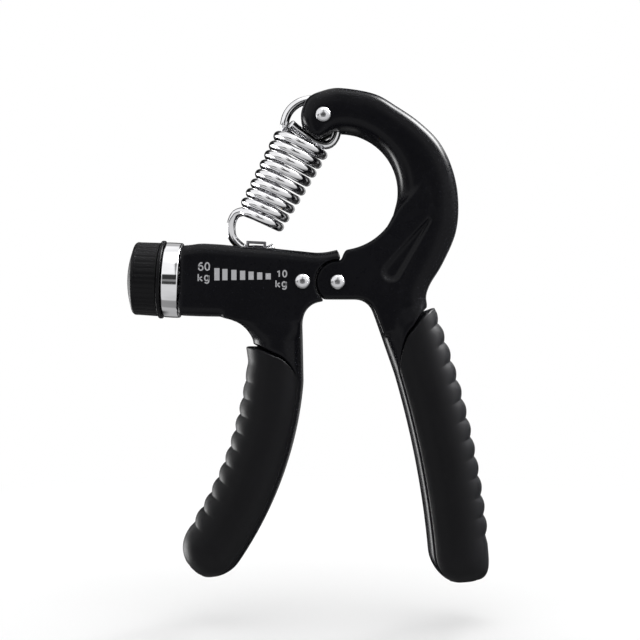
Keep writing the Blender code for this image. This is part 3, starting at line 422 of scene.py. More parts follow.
def edge_drop(distance: Array, radius: float) -> Array:
    """Computes how far a rounded edge falls: radius minus the circle's height over it.

    Args:
        distance: Distance from the edge.
        radius: Radius of the rounding.

    Returns:
        The drop, 0 further in than the radius.
    """
    inside = np.clip(radius - distance, 0.0, radius)
    return radius - np.sqrt(np.maximum(radius**2 - inside**2, 0.0))


def new_object(name: str, data: bpy.types.ID) -> Piece:
    """Makes an object of a mesh, a lamp or a camera and puts it into the scene.

    Args:
        name: Name of the object.
        data: What the object shows.

    Returns:
        The object.
    """
    made = bpy.data.objects.new(name, data)
    bpy.context.scene.collection.objects.link(made)
    return made


def mesh_object(name: str, points: Array, faces: list[list[int]]) -> Piece:
    """Makes an object from points in millimetres.

    Args:
        name: Name of the object.
        points: Array of points.
        faces: Lists of point numbers.

    Returns:
        The object.
    """
    mesh = bpy.data.meshes.new(name)
    mesh.from_pydata(points.tolist(), [], faces)
    mesh.validate()
    return new_object(name, mesh)


def outward(mesh: bpy.types.Mesh) -> None:
    """Turns a mesh's faces outward.

    Args:
        mesh: The mesh.
    """
    shape = bmesh.new()
    shape.from_mesh(mesh)
    bmesh.ops.recalc_face_normals(shape, faces=shape.faces)
    shape.to_mesh(mesh)
    shape.free()


def carry_back(shape: bmesh.types.BMesh, faces: list[bmesh.types.BMFace], depth: float) -> None:
    """Carries faces along Y by a depth, which closes them to a solid.

    Args:
        shape: The shape.
        faces: Its faces.
        depth: Distance along Y.
    """
    moved = bmesh.ops.extrude_face_region(shape, geom=faces)["geom"]
    verts = [v for v in moved if isinstance(v, bmesh.types.BMVert)]
    bmesh.ops.translate(shape, vec=(0.0, depth, 0.0), verts=verts)


def shape_object(name: str, shape: bmesh.types.BMesh) -> Piece:
    """Turns a shape's faces outward and makes an object of it.

    Args:
        name: Name of the object.
        shape: The shape, which is freed.

    Returns:
        The object.
    """
    bmesh.ops.recalc_face_normals(shape, faces=shape.faces)
    mesh = bpy.data.meshes.new(name)
    shape.to_mesh(mesh)
    shape.free()
    return new_object(name, mesh)


def grid_faces(rows: int, columns: int) -> list[list[int]]:
    """Returns the quads over a number of closed rings of points.

    Args:
        rows: Number of rings.
        columns: Points of each.

    Returns:
        Lists of point numbers.
    """
    i = np.arange(rows - 1)[:, None] * columns
    j = np.arange(columns)[None]
    k = (j + 1) % columns
    quads = np.stack((i + j, i + k, i + columns + k, i + columns + j), axis=-1)
    return quads.reshape(-1, 4).tolist()


def skin(name: str, rings: Array, two_sided: bool = False) -> Piece:
    """Makes a closed skin over rings, with fans or, for a two-sided ring, strips as its caps.

    Args:
        name: Name of the object.
        rings: Array of rings of points.
        two_sided: Whether a ring runs along an outside and back along an inside.

    Returns:
        The object.
    """
    rows, columns = rings.shape[:2]
    points = rings.reshape(-1, 3)
    faces = grid_faces(rows, columns)
    last = (rows - 1) * columns
    if two_sided:
        i = np.arange(columns // 2 - 1)
        strip = np.stack((i, i + 1, columns - 2 - i, columns - 1 - i), axis=-1)
        faces += strip.tolist() + (strip + last).tolist()
    else:
        poles = np.stack((rings[0].mean(axis=0), rings[-1].mean(axis=0)))
        i = np.arange(columns)
        for base, pole in ((0, len(points)), (last, len(points) + 1)):
            fan = (base + i, base + (i + 1) % columns, np.full(columns, pole))
            faces += np.stack(fan, axis=-1).tolist()
        points = np.concatenate((points, poles))
    made = mesh_object(name, points, faces)
    outward(made.data)
    return made


def prism(
    name: str,
    outline: Sequence[Point],
    low: float,
    high: float,
    bevel: float = 0.0,
    sharp: Callable[[bmesh.types.BMEdge], bool] | None = None,
    segments: int = 5,
) -> Piece:
    """Makes an outline in the X-Z plane, carried along Y, with rounded rims.

    Args:
        name: Name of the object.
        outline: (X, Z) points.
        low: Depth of the front.
        high: Depth of the back.
        bevel: Width of the rims' rounding.
        sharp: Test of an edge whose rim stays sharp.
        segments: Steps of the rounding.

    Returns:
        The object.
    """
    shape = bmesh.new()
    front = shape.faces.new([shape.verts.new(flat(p, low)) for p in outline])
    carry_back(shape, [front], high - low)
    if bevel:
        rims = [e for e in shape.edges if abs(e.verts[0].co.y - e.verts[1].co.y) < NEAR]
        rims = [e for e in rims if not (sharp and sharp(e))]
        bmesh.ops.bevel(
            shape, geom=rims, offset=bevel, segments=segments, affect="EDGES", clamp_overlap=True
        )
    return shape_object(name, shape)


def pin_hole(spot: Point) -> Piece:
    """Makes the cutter of a rivet's hole."""
    return prism("hole", arc(spot, DATUM.pin_r + DATUM.gap, 0, 348, 29), -THROUGH, THROUGH)


def at_height(height: float) -> Callable[[bmesh.types.BMEdge], bool]:
    """Returns a test that tells whether an edge lies at a height, where a prism stays sharp."""
    return lambda edge: all(abs(v.co.z - height) < NEAR for v in edge.verts)


def on_circle(radius: float) -> Callable[[bmesh.types.BMEdge], bool]:
    """Returns a test of whether both ends of an edge lie on a circle about the pivot."""
    x, z = DATUM.pivot
    return lambda e: all(abs(hypot(v.co.x - x, v.co.z - z) - radius) < NEAR for v in e.verts)


def lathe_points(profile: Array, steps: int, wobble: Array | None = None) -> Array:
    """Computes rings of a turned form: radius times cosine and sine round its own Z axis.

    Args:
        profile: Array of (radius, height).
        steps: Points in a ring.
        wobble: Optional array, rows by steps, that is added to the radius.

    Returns:
        Array of rings.
    """
    radius = np.repeat(profile[:, :1], steps, axis=1)
    if wobble is not None:
        radius = radius + wobble
    angle = np.linspace(0, 2 * pi, steps, endpoint=False)[None]
    height = np.repeat(profile[:, 1:], steps, axis=1)
    return np.stack((radius * np.cos(angle), radius * np.sin(angle), height), axis=-1)


def place_along(points: Array, base: Array, direction: Sequence[float]) -> Array:
    """Returns points turned from their own Z axis onto a line through base along direction."""
    turn = Vector((0, 0, 1)).rotation_difference(Vector(direction)).to_matrix()
    return points @ np.array(turn).T + np.array(base)


def axis_rod(name: str, base: Point, radius: float, near: float, far: float, steps: int) -> Piece:
    """Makes a round rod along the screw's axis.

    Args:
        name: Name of the object.
        base: (X, Z) point from which its ends are measured.
        radius: Its radius.
        near: Where its left end lies.
        far: Where its right end lies.
        steps: Points round it.

    Returns:
        The object.
    """
    profile = np.array(((POLE, far), (radius, far), (radius, near), (POLE, near)))
    return skin(name, place_along(lathe_points(profile, steps), flat(base), DATUM.way))


def round_profile(points: Sequence[Point], radius: float = 0.25, steps: int = 4) -> Array:
    """Rounds the corners of an open profile of (radius, height) points.

    Each corner becomes a quadratic curve between two points that lie the radius away along its
    edges, or a third of the edge where that is shorter.

    Args:
        points: The profile.
        radius: Distance of the curve's ends from the corner.
        steps: Points in the curve.

    Returns:
        Array of points.
    """
    spots = np.array(points, float)
    before, corner, after = spots[:-2], spots[1:-1], spots[2:]
    back = np.linalg.norm(before - corner, axis=1)[:, None]
    on = np.linalg.norm(after - corner, axis=1)[:, None]
    start = corner + (before - corner) / back * np.minimum(radius, back / 3)
    end = corner + (after - corner) / on * np.minimum(radius, on / 3)
    t = np.linspace(0, 1, steps)[None, :, None]
    runs = (1 - t) ** 2 * start[:, None] + 2 * t * (1 - t) * corner[:, None] + t**2 * end[:, None]
    return np.concatenate((spots[:1], runs.reshape(-1, 2), spots[-1:]))


def bake(target: Piece) -> None:
    """Replaces an object's mesh by its evaluated mesh.

    Args:
        target: The object.
    """
    deps = bpy.context.evaluated_depsgraph_get()
    mesh = bpy.data.meshes.new_from_object(target.evaluated_get(deps), depsgraph=deps)
    target.modifiers.clear()
    target.data = mesh


def boolean(target: Piece, tool: Piece, operation: str, dense: bool = False) -> None:
    """Applies a Boolean with a tool, which is then removed.

    Args:
        target: The object that is changed.
        tool: The other object.
        operation: Kind of the Boolean.
        dense: Whether the target is a dense closed mesh, for which the quicker solver does.
    """
    step = target.modifiers.new("boolean", "BOOLEAN")
    step.operation = operation
    step.object = tool
    step.solver = "MANIFOLD" if dense else "EXACT"
    bake(target)
    bpy.data.objects.remove(tool)


def melt(target: Piece, steps: int, voxel: float = 0.42) -> None:
    """Gives a joined form the soft fillets of a moulding.

    The form is wrapped by an even voxel grid, and each point then moves half way to the mean
    of its neighbours, some times over.

    Args:
        target: The object.
        steps: Number of rounds.
        voxel: Size of the grid in millimetres.
    """
    wrap = target.modifiers.new("wrap", "REMESH")
    wrap.mode = "VOXEL"
    wrap.voxel_size = voxel
    relax = target.modifiers.new("relax", "SMOOTH")
    relax.factor = 0.5
    relax.iterations = steps
    bake(target)


def seat(
    target: Piece,
    finish: Finish,
    body: str | None,
    nodes: Sequence[str] = (),
    crease: float | None = None,
) -> None:
    """Brings a finished form to metres and hangs it on its body.

    Args:
        target: The object, in millimetres.
        finish: Its finish.
        body: Name of the body that it rides, or None where it rides no body.
        nodes: CAD nodes that it stands for.
        crease: Angle in degrees above which an edge stays sharp.
    """
    target.data.transform(Matrix.Scale(MM, 4))
    target.data.materials.clear()
    target.data.materials.append(finish.build())
    target.data.shade_smooth()
    if crease:
        target.data.set_sharp_from_angle(angle=radians(crease))
    if body:
        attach(target, body)
    if nodes:
        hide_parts(*nodes)
    log.info("%s: %s, %d faces", target.name, finish.surface.value, len(target.data.polygons))


def smooth_curve(points: Array, parts: int) -> Array:
    """Computes a smooth curve through points.

    Between each two points it follows the cubic whose slopes there are half the chord between
    the neighbours on either side.

    Args:
        points: Array of points, or of pairs of points.
        parts: Steps between two points.

    Returns:
        Array of points.
    """
    p = np.concatenate((points[:1], points, points[-1:]))
    t = (np.arange(parts) / parts).reshape((1, parts) + (1,) * (points.ndim - 1))
    a, b, c, d = (p[k : len(p) - 3 + k][:, None] for k in range(4))
    cubic = 2 * b + (c - a) * t
    cubic = cubic + (2 * a - 5 * b + 4 * c - d) * t**2 + (3 * b - a - 3 * c + d) * t**3
    return np.concatenate((cubic.reshape((-1,) + points.shape[1:]) / 2, points[-1:]))


@dataclass(frozen=True)
class Handle:
    """One handle: its path, its section and its rubber grip."""

    name: str
    start: Point  # (X, Z) of the path's start.
    headings: Point  # Degrees from straight down at the start and the end.
    length: float
    half_width: float  # Half the core's width at the top.
    swell: float  # How much half the width grows below the rim.
    end: float  # Length of the rounded end.
    squareness: float  # Power of the rounded end's outer side.
    outward: int  # 1 where the outer side faces +X, else -1.
    first_ridge: float  # Where the cross ribs start.
    ridges: int
    pitch: float
    ridge_height: float
    ramp: int  # How many ribs rise slowly at the top.
    slope: float  # How far the rim slopes down to the inner side.
    half_depth: float = 10.9
    roundness: float = 2.6  # How square the section is.
    thickness: float = 2.4  # Thickness of the rubber under the plastic's surface.
    proud: float = 0.4  # Height of the rubber over it.
    reach_degrees: float = 143  # Half the angle that the grip covers.
    mouth: float = 0.9  # Share of the rounded end where the grip stops.
    rim_gap: float = 0.6  # Clearance at the grip's rim.
    collar: float = 5.0  # Length over which the rim's collar falls off.
    rim_step: float = 1.0  # How far the plastic steps in at the rim.
    rim_power: float = 1.7  # How late the rim's slope sets in.
    inner_square: float = 1.8  # Squareness of the inner side.
    tail: float = 0.55  # Height of the plain tail, as a share of the ribs' height.
    covered: int = 80  # Points round the covered part of the core.
    bare: int = 30  # Points round the bare strip.
    front_power: float = 2.4  # Power of the rounded end's front and back.
    rib_power: float = 0.8  # Power of the ribs' half sine wave, below 1 for broad ribs.
    fade_rate: float = 1.2  # How much sooner than at the sides' middle the ribs end.
    seam_angle: float = 0.02  # Radians between the core's covered and bare part.
    rim_face: float = 0.05  # How far over the plastic's rim its first ring lies.
    end_first: float = 0.08  # Share of the rounded end where the core's rings start.
    end_last: float = 0.997  # Share where they end before the pole.
    mouth_step: float = 0.005  # Share over which the core steps out below the grip.
    gather: float = 0.2  # How far the grip's points gather at its long edges, from 0 to 1.
    edge_inset: float = 0.06  # Radians by which the grip's long edges stay inside the reach.
    arm_share: float = 0.7  # How far the grip's edges lie from the path, in half depths.
    grip_first: float = 0.02  # Share of the rounded end where the grip's rings start.
    crowding: float = 0.8  # Power that spaces these rings.
    bow: float = 1.4  # Length along the rounded end, in lengths of that end.
    mouth_round: float = 0.7  # Rounding at the grip's mouth, as a share of that at its edges.

    @property
    def reach(self) -> float:
        """Half the angle that the grip covers, in radians."""
        return radians(self.reach_degrees)

    def heading(self, along: Array) -> Array:
        """Returns the path's direction, from straight down towards +X."""
        first, last = (radians(h) for h in self.headings)
        return first + (last - first) * along / self.length

    def centre(self, along: Array) -> Array:
        """Returns points of the path, a circular arc that starts along the first heading.

        Args:
            along: Distances from its start.

        Returns:
            An array of points.
        """
        first, last = (radians(h) for h in self.headings)
        bend = (last - first) / self.length
        now = self.heading(along)
        x = self.start[0] + (cos(first) - np.cos(now)) / bend
        z = self.start[1] + (sin(first) - np.sin(now)) / bend
        return np.stack((x, np.zeros_like(x), z), axis=-1)

    def across(self, along: Array) -> Array:
        """Returns unit vectors towards the outer side."""
        now = self.heading(along)
        return np.stack((np.cos(now), np.zeros_like(now), np.sin(now)), axis=-1) * self.outward

    def half_at(self, along: Array) -> Array:
        """Returns half the width, which grows by the swell times 1 minus a fourth power."""
        left = 1 - np.minimum(along / self.length, 1.0)
        return self.half_width + self.swell * (1 - left**4)

    def surface(self, along: Array, angle: Array, grow: Amount = 0.0, outer: Amount = 0.0) -> Array:
        """Computes points of the handle's side.

        A line of the grip runs further down the nearer it is to the inner side: the drop is the
        slope times a power of one minus a cosine, and fades out along the handle.

        Args:
            along: Distances along the handle.
            angle: Angles round the section.
            grow: How far the surface is grown on all sides.
            outer: How far it is grown besides across the handle.

        Returns:
            Array of points.
        """
        around = np.minimum(np.abs(angle), self.reach) / self.reach
        drop = self.slope * (1 - np.cos(around * pi / 2)) ** self.rim_power
        run = along + drop * (1 - along / self.length)
        wide = self.half_at(run) + grow + outer
        deep = self.half_depth + grow
        return section(self.centre(run), self.across(run), wide, deep, self.roundness, angle)

    def foot(
        self, share: Array, angle: Array, grow: Amount, outer: Amount = 0.0, short: Amount = 0.0
    ) -> Array:
        """Computes points of the rounded end.

        Half the width shrinks by the root of one minus a power of the share. The power is the
        squareness on the outer side and another number on the inner one. Half the depth shrinks
        in the same way, by a power of its own.

        Args:
            share: Shares of the rounded end's length.
            angle: Angles round the section.
            grow: How far the surface is grown on all sides.
            outer: How far it is grown besides across the handle.
            short: How much shorter the end is.

        Returns:
            Array of points.
        """
        run = self.length + (self.end - short) * share
        power = np.where(np.cos(angle) > 0, self.squareness, self.inner_square)
        wide = (self.half_at(run) + grow + outer) * (1 - share**power) ** (1 / power)
        deep = (self.half_depth + grow) * (1 - share**self.front_power) ** (1 / self.front_power)
        return section(self.centre(run), self.across(run), wide, deep, self.roundness, angle)

    def ring_angles(self) -> Array:
        """Returns the angles round a ring, within half a turn of zero: covered part, then bare."""
        top = self.reach - self.seam_angle
        first = np.linspace(-top, top, self.covered)
        last = np.linspace(self.reach, 2 * pi - self.reach, self.bare)
        return (np.concatenate((first, last)) + pi) % (2 * pi) - pi

    def fade(self, angle: Array) -> Array:
        """Returns how far the ribs still stand out, a cosine that ends before the front."""
        return np.cos(np.minimum(np.abs(angle) * self.fade_rate, pi / 2))

    def tail_height(self, angle: Array) -> Array:
        """Returns the height of the grip's plain tail round the section."""
        return self.tail * self.ridge_height * self.fade(angle)

    def core(self, rows: int = 80) -> Array:
        """Computes rings of the core from the grip's rim to the rounded end.

        Args:
            rows: Number of rings under the grip.

        Returns:
            Array of rings.
        """
        angle = self.ring_angles()[None]
        under = np.arange(angle.size)[None] < self.covered
        sunk = np.where(under, -(self.thickness + DATUM.gap), 0.0)
        short = np.where(under, self.thickness + self.proud + DATUM.gap, 0.0)
        step = np.where(under, -self.rim_step * np.maximum(0.0, np.cos(angle)), 0.0)
        first = self.surface(np.full((1, 1), -self.rim_gap - self.rim_face), angle, outer=step)
        stops = np.concatenate(([-self.rim_gap], np.linspace(0.0, self.length, rows)))
        body = self.surface(stops[:, None], angle, sunk)
        button = self.mouth + DATUM.gap / self.end
        shares = np.linspace(self.end_first, button - self.mouth_step, 16)[:, None]
        end = self.foot(shares, angle, sunk, short=short)
        shares = np.linspace(button, self.end_last, 8)[:, None]
        top = np.where(under, self.proud, 0.0)
        over = np.where(under, self.tail_height(angle), 0.0)
        return np.concatenate((first, body, end, self.foot(shares, angle, top, over)))

    def ridge(self, along: Array, angle: Array) -> Array:
        """Computes the height of ribs and collar over the groove level.

        Each rib is a power of a half sine wave. The collar falls off along the first
        millimetres. The plain tail sets in over half a pitch and stays level. All fade towards
        the front by a cosine.

        Args:
            along: Distances along the handle.
            angle: Angles round the section.

        Returns:
            Heights.
        """
        phase = (along - self.first_ridge) / self.pitch
        inside = (phase > 0) & (phase < self.ridges)
        wave = np.where(inside, np.abs(np.sin(pi * phase)) ** self.rib_power, 0.0)
        wave = wave * np.minimum(1.0, (phase + 1) / (self.ramp + 1))
        collar = np.maximum(0.0, 1 - along / self.collar)
        tail = np.clip((phase - self.ridges) * 2, 0.0, 1.0) * self.tail
        return self.ridge_height * np.maximum(np.maximum(wave, collar), tail) * self.fade(angle)

    def grip(self, columns: int = 101, rows: int = 300, rounding: float = 0.6) -> Array:
        """Computes rings of the grip: along its outside and back along its inside.

        Args:
            columns: Points round the outside.
            rows: Rings along the straight part.
            rounding: Radius of the rounded edges.

        Returns:
            Array of rings.
        """
        even = np.linspace(-1, 1, columns)[None]
        ease = (1 - self.gather) * even + self.gather * np.sin(even * pi / 2)
        start = np.linspace(0, rounding, 9)[:-1]
        along = np.concatenate((start, np.linspace(rounding, self.length, rows)))[:, None]
        share = np.linspace(self.grip_first, 1.0, 40)[:, None] ** self.crowding * self.mouth
        top = self.reach - self.edge_inset
        width = (1 - np.abs(ease)) * top * self.half_depth * self.arm_share
        flank = edge_drop(width, rounding)
        angle = top * ease
        drop = np.maximum(flank, edge_drop(along, rounding))
        outside = self.surface(along, angle, self.proud - drop, self.ridge(along, angle))
        inside = self.surface(along, angle[:, ::-1], -self.thickness)
        side = np.concatenate((outside, inside), axis=1)
        angle = (top - self.edge_inset * share**2) * ease
        left = (self.mouth - share) * self.end * self.bow
        drop = np.maximum(flank, edge_drop(left, rounding * self.mouth_round))
        outside = self.foot(share, angle, self.proud - drop, self.tail_height(angle))
        short = self.thickness + self.proud
        inside = self.foot(share, angle[:, ::-1], -self.thickness, short=short)
        return np.concatenate((side, np.concatenate((outside, inside), axis=1)))

    def build_grip(self, body: str, node: str) -> None:
        """Builds the rubber grip and hangs it on its body in place of its node."""
        made = skin(self.name + "_grip", self.grip(), two_sided=True)
        seat(made, GRIP_RUBBER, body, [node], crease=50)


RIGHT = Handle(
    name="right", start=(31.85, 85.8), headings=(20.0, 5.1), length=77.0, half_width=8.75,
    swell=0.38, end=10.6, squareness=4.0, outward=1, first_ridge=-1.2, ridges=12, pitch=6.15,
    ridge_height=1.0, ramp=0, slope=17.0,
)
LEFT = Handle(
    name="left", start=(-9.6, 76.6), headings=(-0.1, -34.6), length=68.8, half_width=8.85,
    swell=0.45, end=10.2, squareness=2.2, outward=-1, first_ridge=6.05, ridges=10, pitch=5.95,
    ridge_height=0.9, ramp=3, slope=11.3,
)


@dataclass(frozen=True)
class Arm:
    """The ring-shaped arm with its fork, hub and the core of the right handle."""

    ring_centre: Point = (10.40, 127.10)
    bore_r: float = 19.2
    # Width of the ring by clock angle.
    widths: tuple[Point, ...] = (
        (20, 13.65), (35, 13.4), (50, 14.6), (65, 16.6), (80, 18.0), (95, 19.4), (110, 20.9),
    )
    half_depth: float = 9.6
    roundness: float = 3.6  # How square its section is.
    # Outer and inner edge points from the tip on.
    tip_edges: Edges = (
        ((1.3, 144.9), (4.55, 143.6)), ((-0.9, 146.8), (7.5, 145.2)), ((-2.0, 150.3), (8.8, 146.1)),
        ((-1.5, 153.6), (9.9, 146.2)), ((0.5, 156.95), (10.7, 146.2)),
        ((4.9, 158.95), (12.0, 146.1)), ((10.7, 159.85), (13.7, 145.9)),
    )
    # Outer and inner edge points of the neck.
    neck_edges: Edges = (
        ((43.85, 103.4), (25.4, 109.6)), ((39.9, 96.9), (22.1, 99.8)),
        ((38.5, 93.0), (20.4, 92.6)), ((38.75, 90.6), (21.6, 87.4)),
    )
    fork_slot: float = 4.0
    fork_end: float = 12.8  # X where the slot ends.
    leaf_round: Point = (26.9, 100.4)  # Middle of the leaf's round end.
    leaf_point: Point = (40.2, 119.0)
    leaf_r: float = 2.8  # Radius of the round end.
    leaf_depth: float = 0.9
    cheek_r: float = 6.9  # Radius of the cheeks round the pivot.
    cheek_bottom: float = 5.3  # How far the cheeks reach below the pivot.
    cheek_inner: float = 5.2  # Distance of the cheeks' inner faces from the middle.
    eye_r: float = 4.9  # Radius of the steel tongue between the cheeks.
    notch_top_x: float = 12.4  # X where the notch starts on the bore.
    notch_mid: Point = (11.5, 106.0)
    notch_angle: float = 79  # Angle where the notch meets the cheek.
    hub_corner: Point = (20.1, 91.95)
    hub_corner_r: float = 6.0
    hub_bevel: float = 1.8
    rim_rise: float = 0.45  # How far the hub's top stays behind the bore at the notch.
    hub_start: float = 84  # Clock angle where the hub's flat face starts on the ring.
    hub_inset: float = 8.0  # How far behind the bore it starts.
    hub_proud: float = 0.12  # How far the hub's faces stand over the ring's.
    hub_blend: float = 0.35  # Share of the bore's arc over which the inset fades.
    # Distances along the handle where the hub ends, inside and in the middle.
    hub_end: Point = (3.0, 2.0)
    # Clock angles of the last points, in the middle of the ring's width.
    hub_back: Point = (110, 97)
    # Sizes of the rings that close the tip.
    cap_shares: tuple[float, ...] = (0.2, 0.45, 0.65, 0.82, 0.94)
    cap_sink: float = 0.9  # How far the smallest of them sinks.
    cap_depth: Point = (0.75, 0.24)  # Depth of a ring of no size, and what it gains with its size.
    leaf_power: float = 0.8  # Power by which the leaf's half width falls.
    # Width factor and height, in leaf depths, of the leaf cutter's rings.
    leaf_stops: tuple[Point, ...] = ((1.3, 2.0), (1.12, 0.0), (0.8, -0.6), (0.55, -1.0))
    slot_reach: float = 12.0  # How far the hub's slot reaches from the pivot.
    slot_room: float = 0.2  # How far it rises over the cheeks.
    fork_box: Spot = (-10.0, 137.0, 167.0)  # Left side, bottom and top of the fork's cutter.

    def edge_rows(self) -> Array:
        """Returns pairs of outer and inner edge points from the tip to the neck."""
        centre, bore = self.ring_centre, self.bore_r
        ring = [(clock(centre, bore + wide, a), clock(centre, bore, a)) for a, wide in self.widths]
        pairs = np.array([*self.tip_edges, *ring, *self.neck_edges], float)
        spots = np.stack((pairs[..., 0], np.zeros(pairs.shape[:2]), pairs[..., 1]), axis=-1)
        return smooth_curve(spots, 8)

    def limb(self) -> Array:
        """Computes rings from the tip round the ring and down the neck.

        The tip is closed by rings that shrink towards its middle and sink a little.

        Returns:
            Array of rings.
        """
        rows = self.edge_rows()
        shares = np.array(self.cap_shares)[:, None, None]
        middle = rows[0].mean(axis=0)
        cap = middle + (rows[0] - middle) * shares
        cap[..., 2] -= self.cap_sink * (1 - shares[..., 0])
        rows = np.concatenate((cap, rows))
        deep = np.full(len(rows), self.half_depth)
        deep[: len(cap)] *= self.cap_depth[0] + self.cap_depth[1] * shares[:, 0, 0]
        width = np.linalg.norm(rows[:, 0] - rows[:, 1], axis=1)[:, None]
        across = ((rows[:, 0] - rows[:, 1]) / width)[:, None]
        angle = RIGHT.ring_angles()[None]
        centre = rows.mean(axis=1)[:, None]
        return section(centre, across, width / 2, deep[:, None], self.roundness, angle)

    def hub_outline(self) -> list[Point]:
        """Returns the hub's outline: ring bore, notch, cheek, bottom and the neck's middle line."""
        centre, bore = self.ring_centre, self.bore_r
        last = 180 - (self.notch_top_x - centre[0]) / bore * 180 / pi
        bottom = DATUM.pivot[1] - self.cheek_bottom
        reach = (self.cheek_r**2 - self.cheek_bottom**2) ** 0.5
        cheek_end = 180 + atan2(self.cheek_bottom, reach) * 180 / pi
        inner, middle = (np.array(along) for along in self.hub_end)
        side = RIGHT.centre(inner) - RIGHT.across(inner) * RIGHT.half_width
        inside, lower = ((float(p[0]), float(p[2])) for p in (side, RIGHT.centre(middle)))
        points = []
        for share in [i / 30 for i in range(31)]:
            left = max(0.0, 1 - share / self.hub_blend)
            rise = self.rim_rise * share + self.hub_inset * left**2
            turn = self.hub_start + (last - self.hub_start) * share
            points.append(clock(centre, bore + rise, turn))
        points.append(self.notch_mid)
        points += arc(DATUM.pivot, self.cheek_r, self.notch_angle, cheek_end, 40)
        points += fillet((DATUM.pivot[0], bottom), self.hub_corner, inside, self.hub_corner_r)
        points += [inside, lower]
        points += [((a[0] + b[0]) / 2, (a[1] + b[1]) / 2) for a, b in self.neck_edges[::-1]]
        wide = self.widths[-1][1]
        return points + [clock(centre, bore + wide / 2, angle) for angle in self.hub_back]

    def leaf_outline(self, wide: float) -> Array:
        """Computes the leaf's outline: a round end and two sides that meet in a point.

        The half width along the leaf is the radius times a power of one minus the share.

        Args:
            wide: Factor of the half width.

        Returns:
            Array of (X, Z) points.
        """
        base = np.array(self.leaf_round)
        reach = np.array(self.leaf_point) - base
        length = np.linalg.norm(reach)
        way = reach / length
        side = np.array((-way[1], way[0]))
        turn = np.linspace(0, pi, 17)[:, None]
        radius = self.leaf_r * wide
        bow = base + radius * (side * np.cos(turn) - way * np.sin(turn))
        share = np.linspace(0, 1, 15)[1:, None]
        lower = base + reach * share - side * radius * (1 - share) ** self.leaf_power
        share = share[-2::-1]
        upper = base + reach * share + side * radius * (1 - share) ** self.leaf_power
        return np.concatenate((bow, lower, upper))

    def leaf_cutter(self, face: int) -> Piece:
        """Makes the leaf's cutter for one face, wider at the surface than at its floor.

        Args:
            face: -1 for the front, 1 for the back.

        Returns:
            The cutter.
        """
        rings = []
        for wide, up in self.leaf_stops:
            line = self.leaf_outline(wide)
            deep = np.full(len(line), (self.half_depth + self.leaf_depth * up) * face)
            rings.append(np.stack((line[:, 0], deep, line[:, 1]), axis=-1))
        return skin("leaf", np.array(rings))

    def cutters(self) -> list[Piece]:
        """Makes the cutters of hub slot, fork, leaf and rivet holes.

        Returns:
            The cutters.
        """
        x, z = DATUM.pivot
        high = z + self.cheek_r + self.slot_room
        slot = [(x - self.slot_reach, z - self.slot_reach), (x, z - self.slot_reach)]
        slot += arc(DATUM.pivot, self.eye_r + 2 * DATUM.gap, -90, 90, 40)
        slot += [(x, high), (x - self.slot_reach, high)]
        left, low, top = self.fork_box
        fork = [(left, low), (self.fork_end, low), (self.fork_end, top), (left, top)]
        made = [prism("slot", slot, -self.cheek_inner, self.cheek_inner)]
        made.append(prism("fork", fork, -self.fork_slot / 2, self.fork_slot / 2))
        made += [pin_hole(spot) for spot in (DATUM.pivot, DATUM.tip_pin)]
        return made + [self.leaf_cutter(face) for face in (-1, 1)]

    def build(self) -> None:
        """Builds the moulding and hangs it on the arm body."""
        body = skin("arm_moulding", np.concatenate((self.limb(), RIGHT.core())))
        face = self.half_depth + self.hub_proud
        sharp = on_circle(self.cheek_r)
        hub = prism("hub", self.hub_outline(), -face, face, self.hub_bevel, sharp)
        boolean(body, hub, "UNION")
        melt(body, FILLET_ROUNDS)
        for cutter in self.cutters():
            boolean(body, cutter, "DIFFERENCE", dense=True)
        melt(body, EDGE_ROUNDS)
        seat(body, MOULDED_PLASTIC, "arm", ["arm_body"])


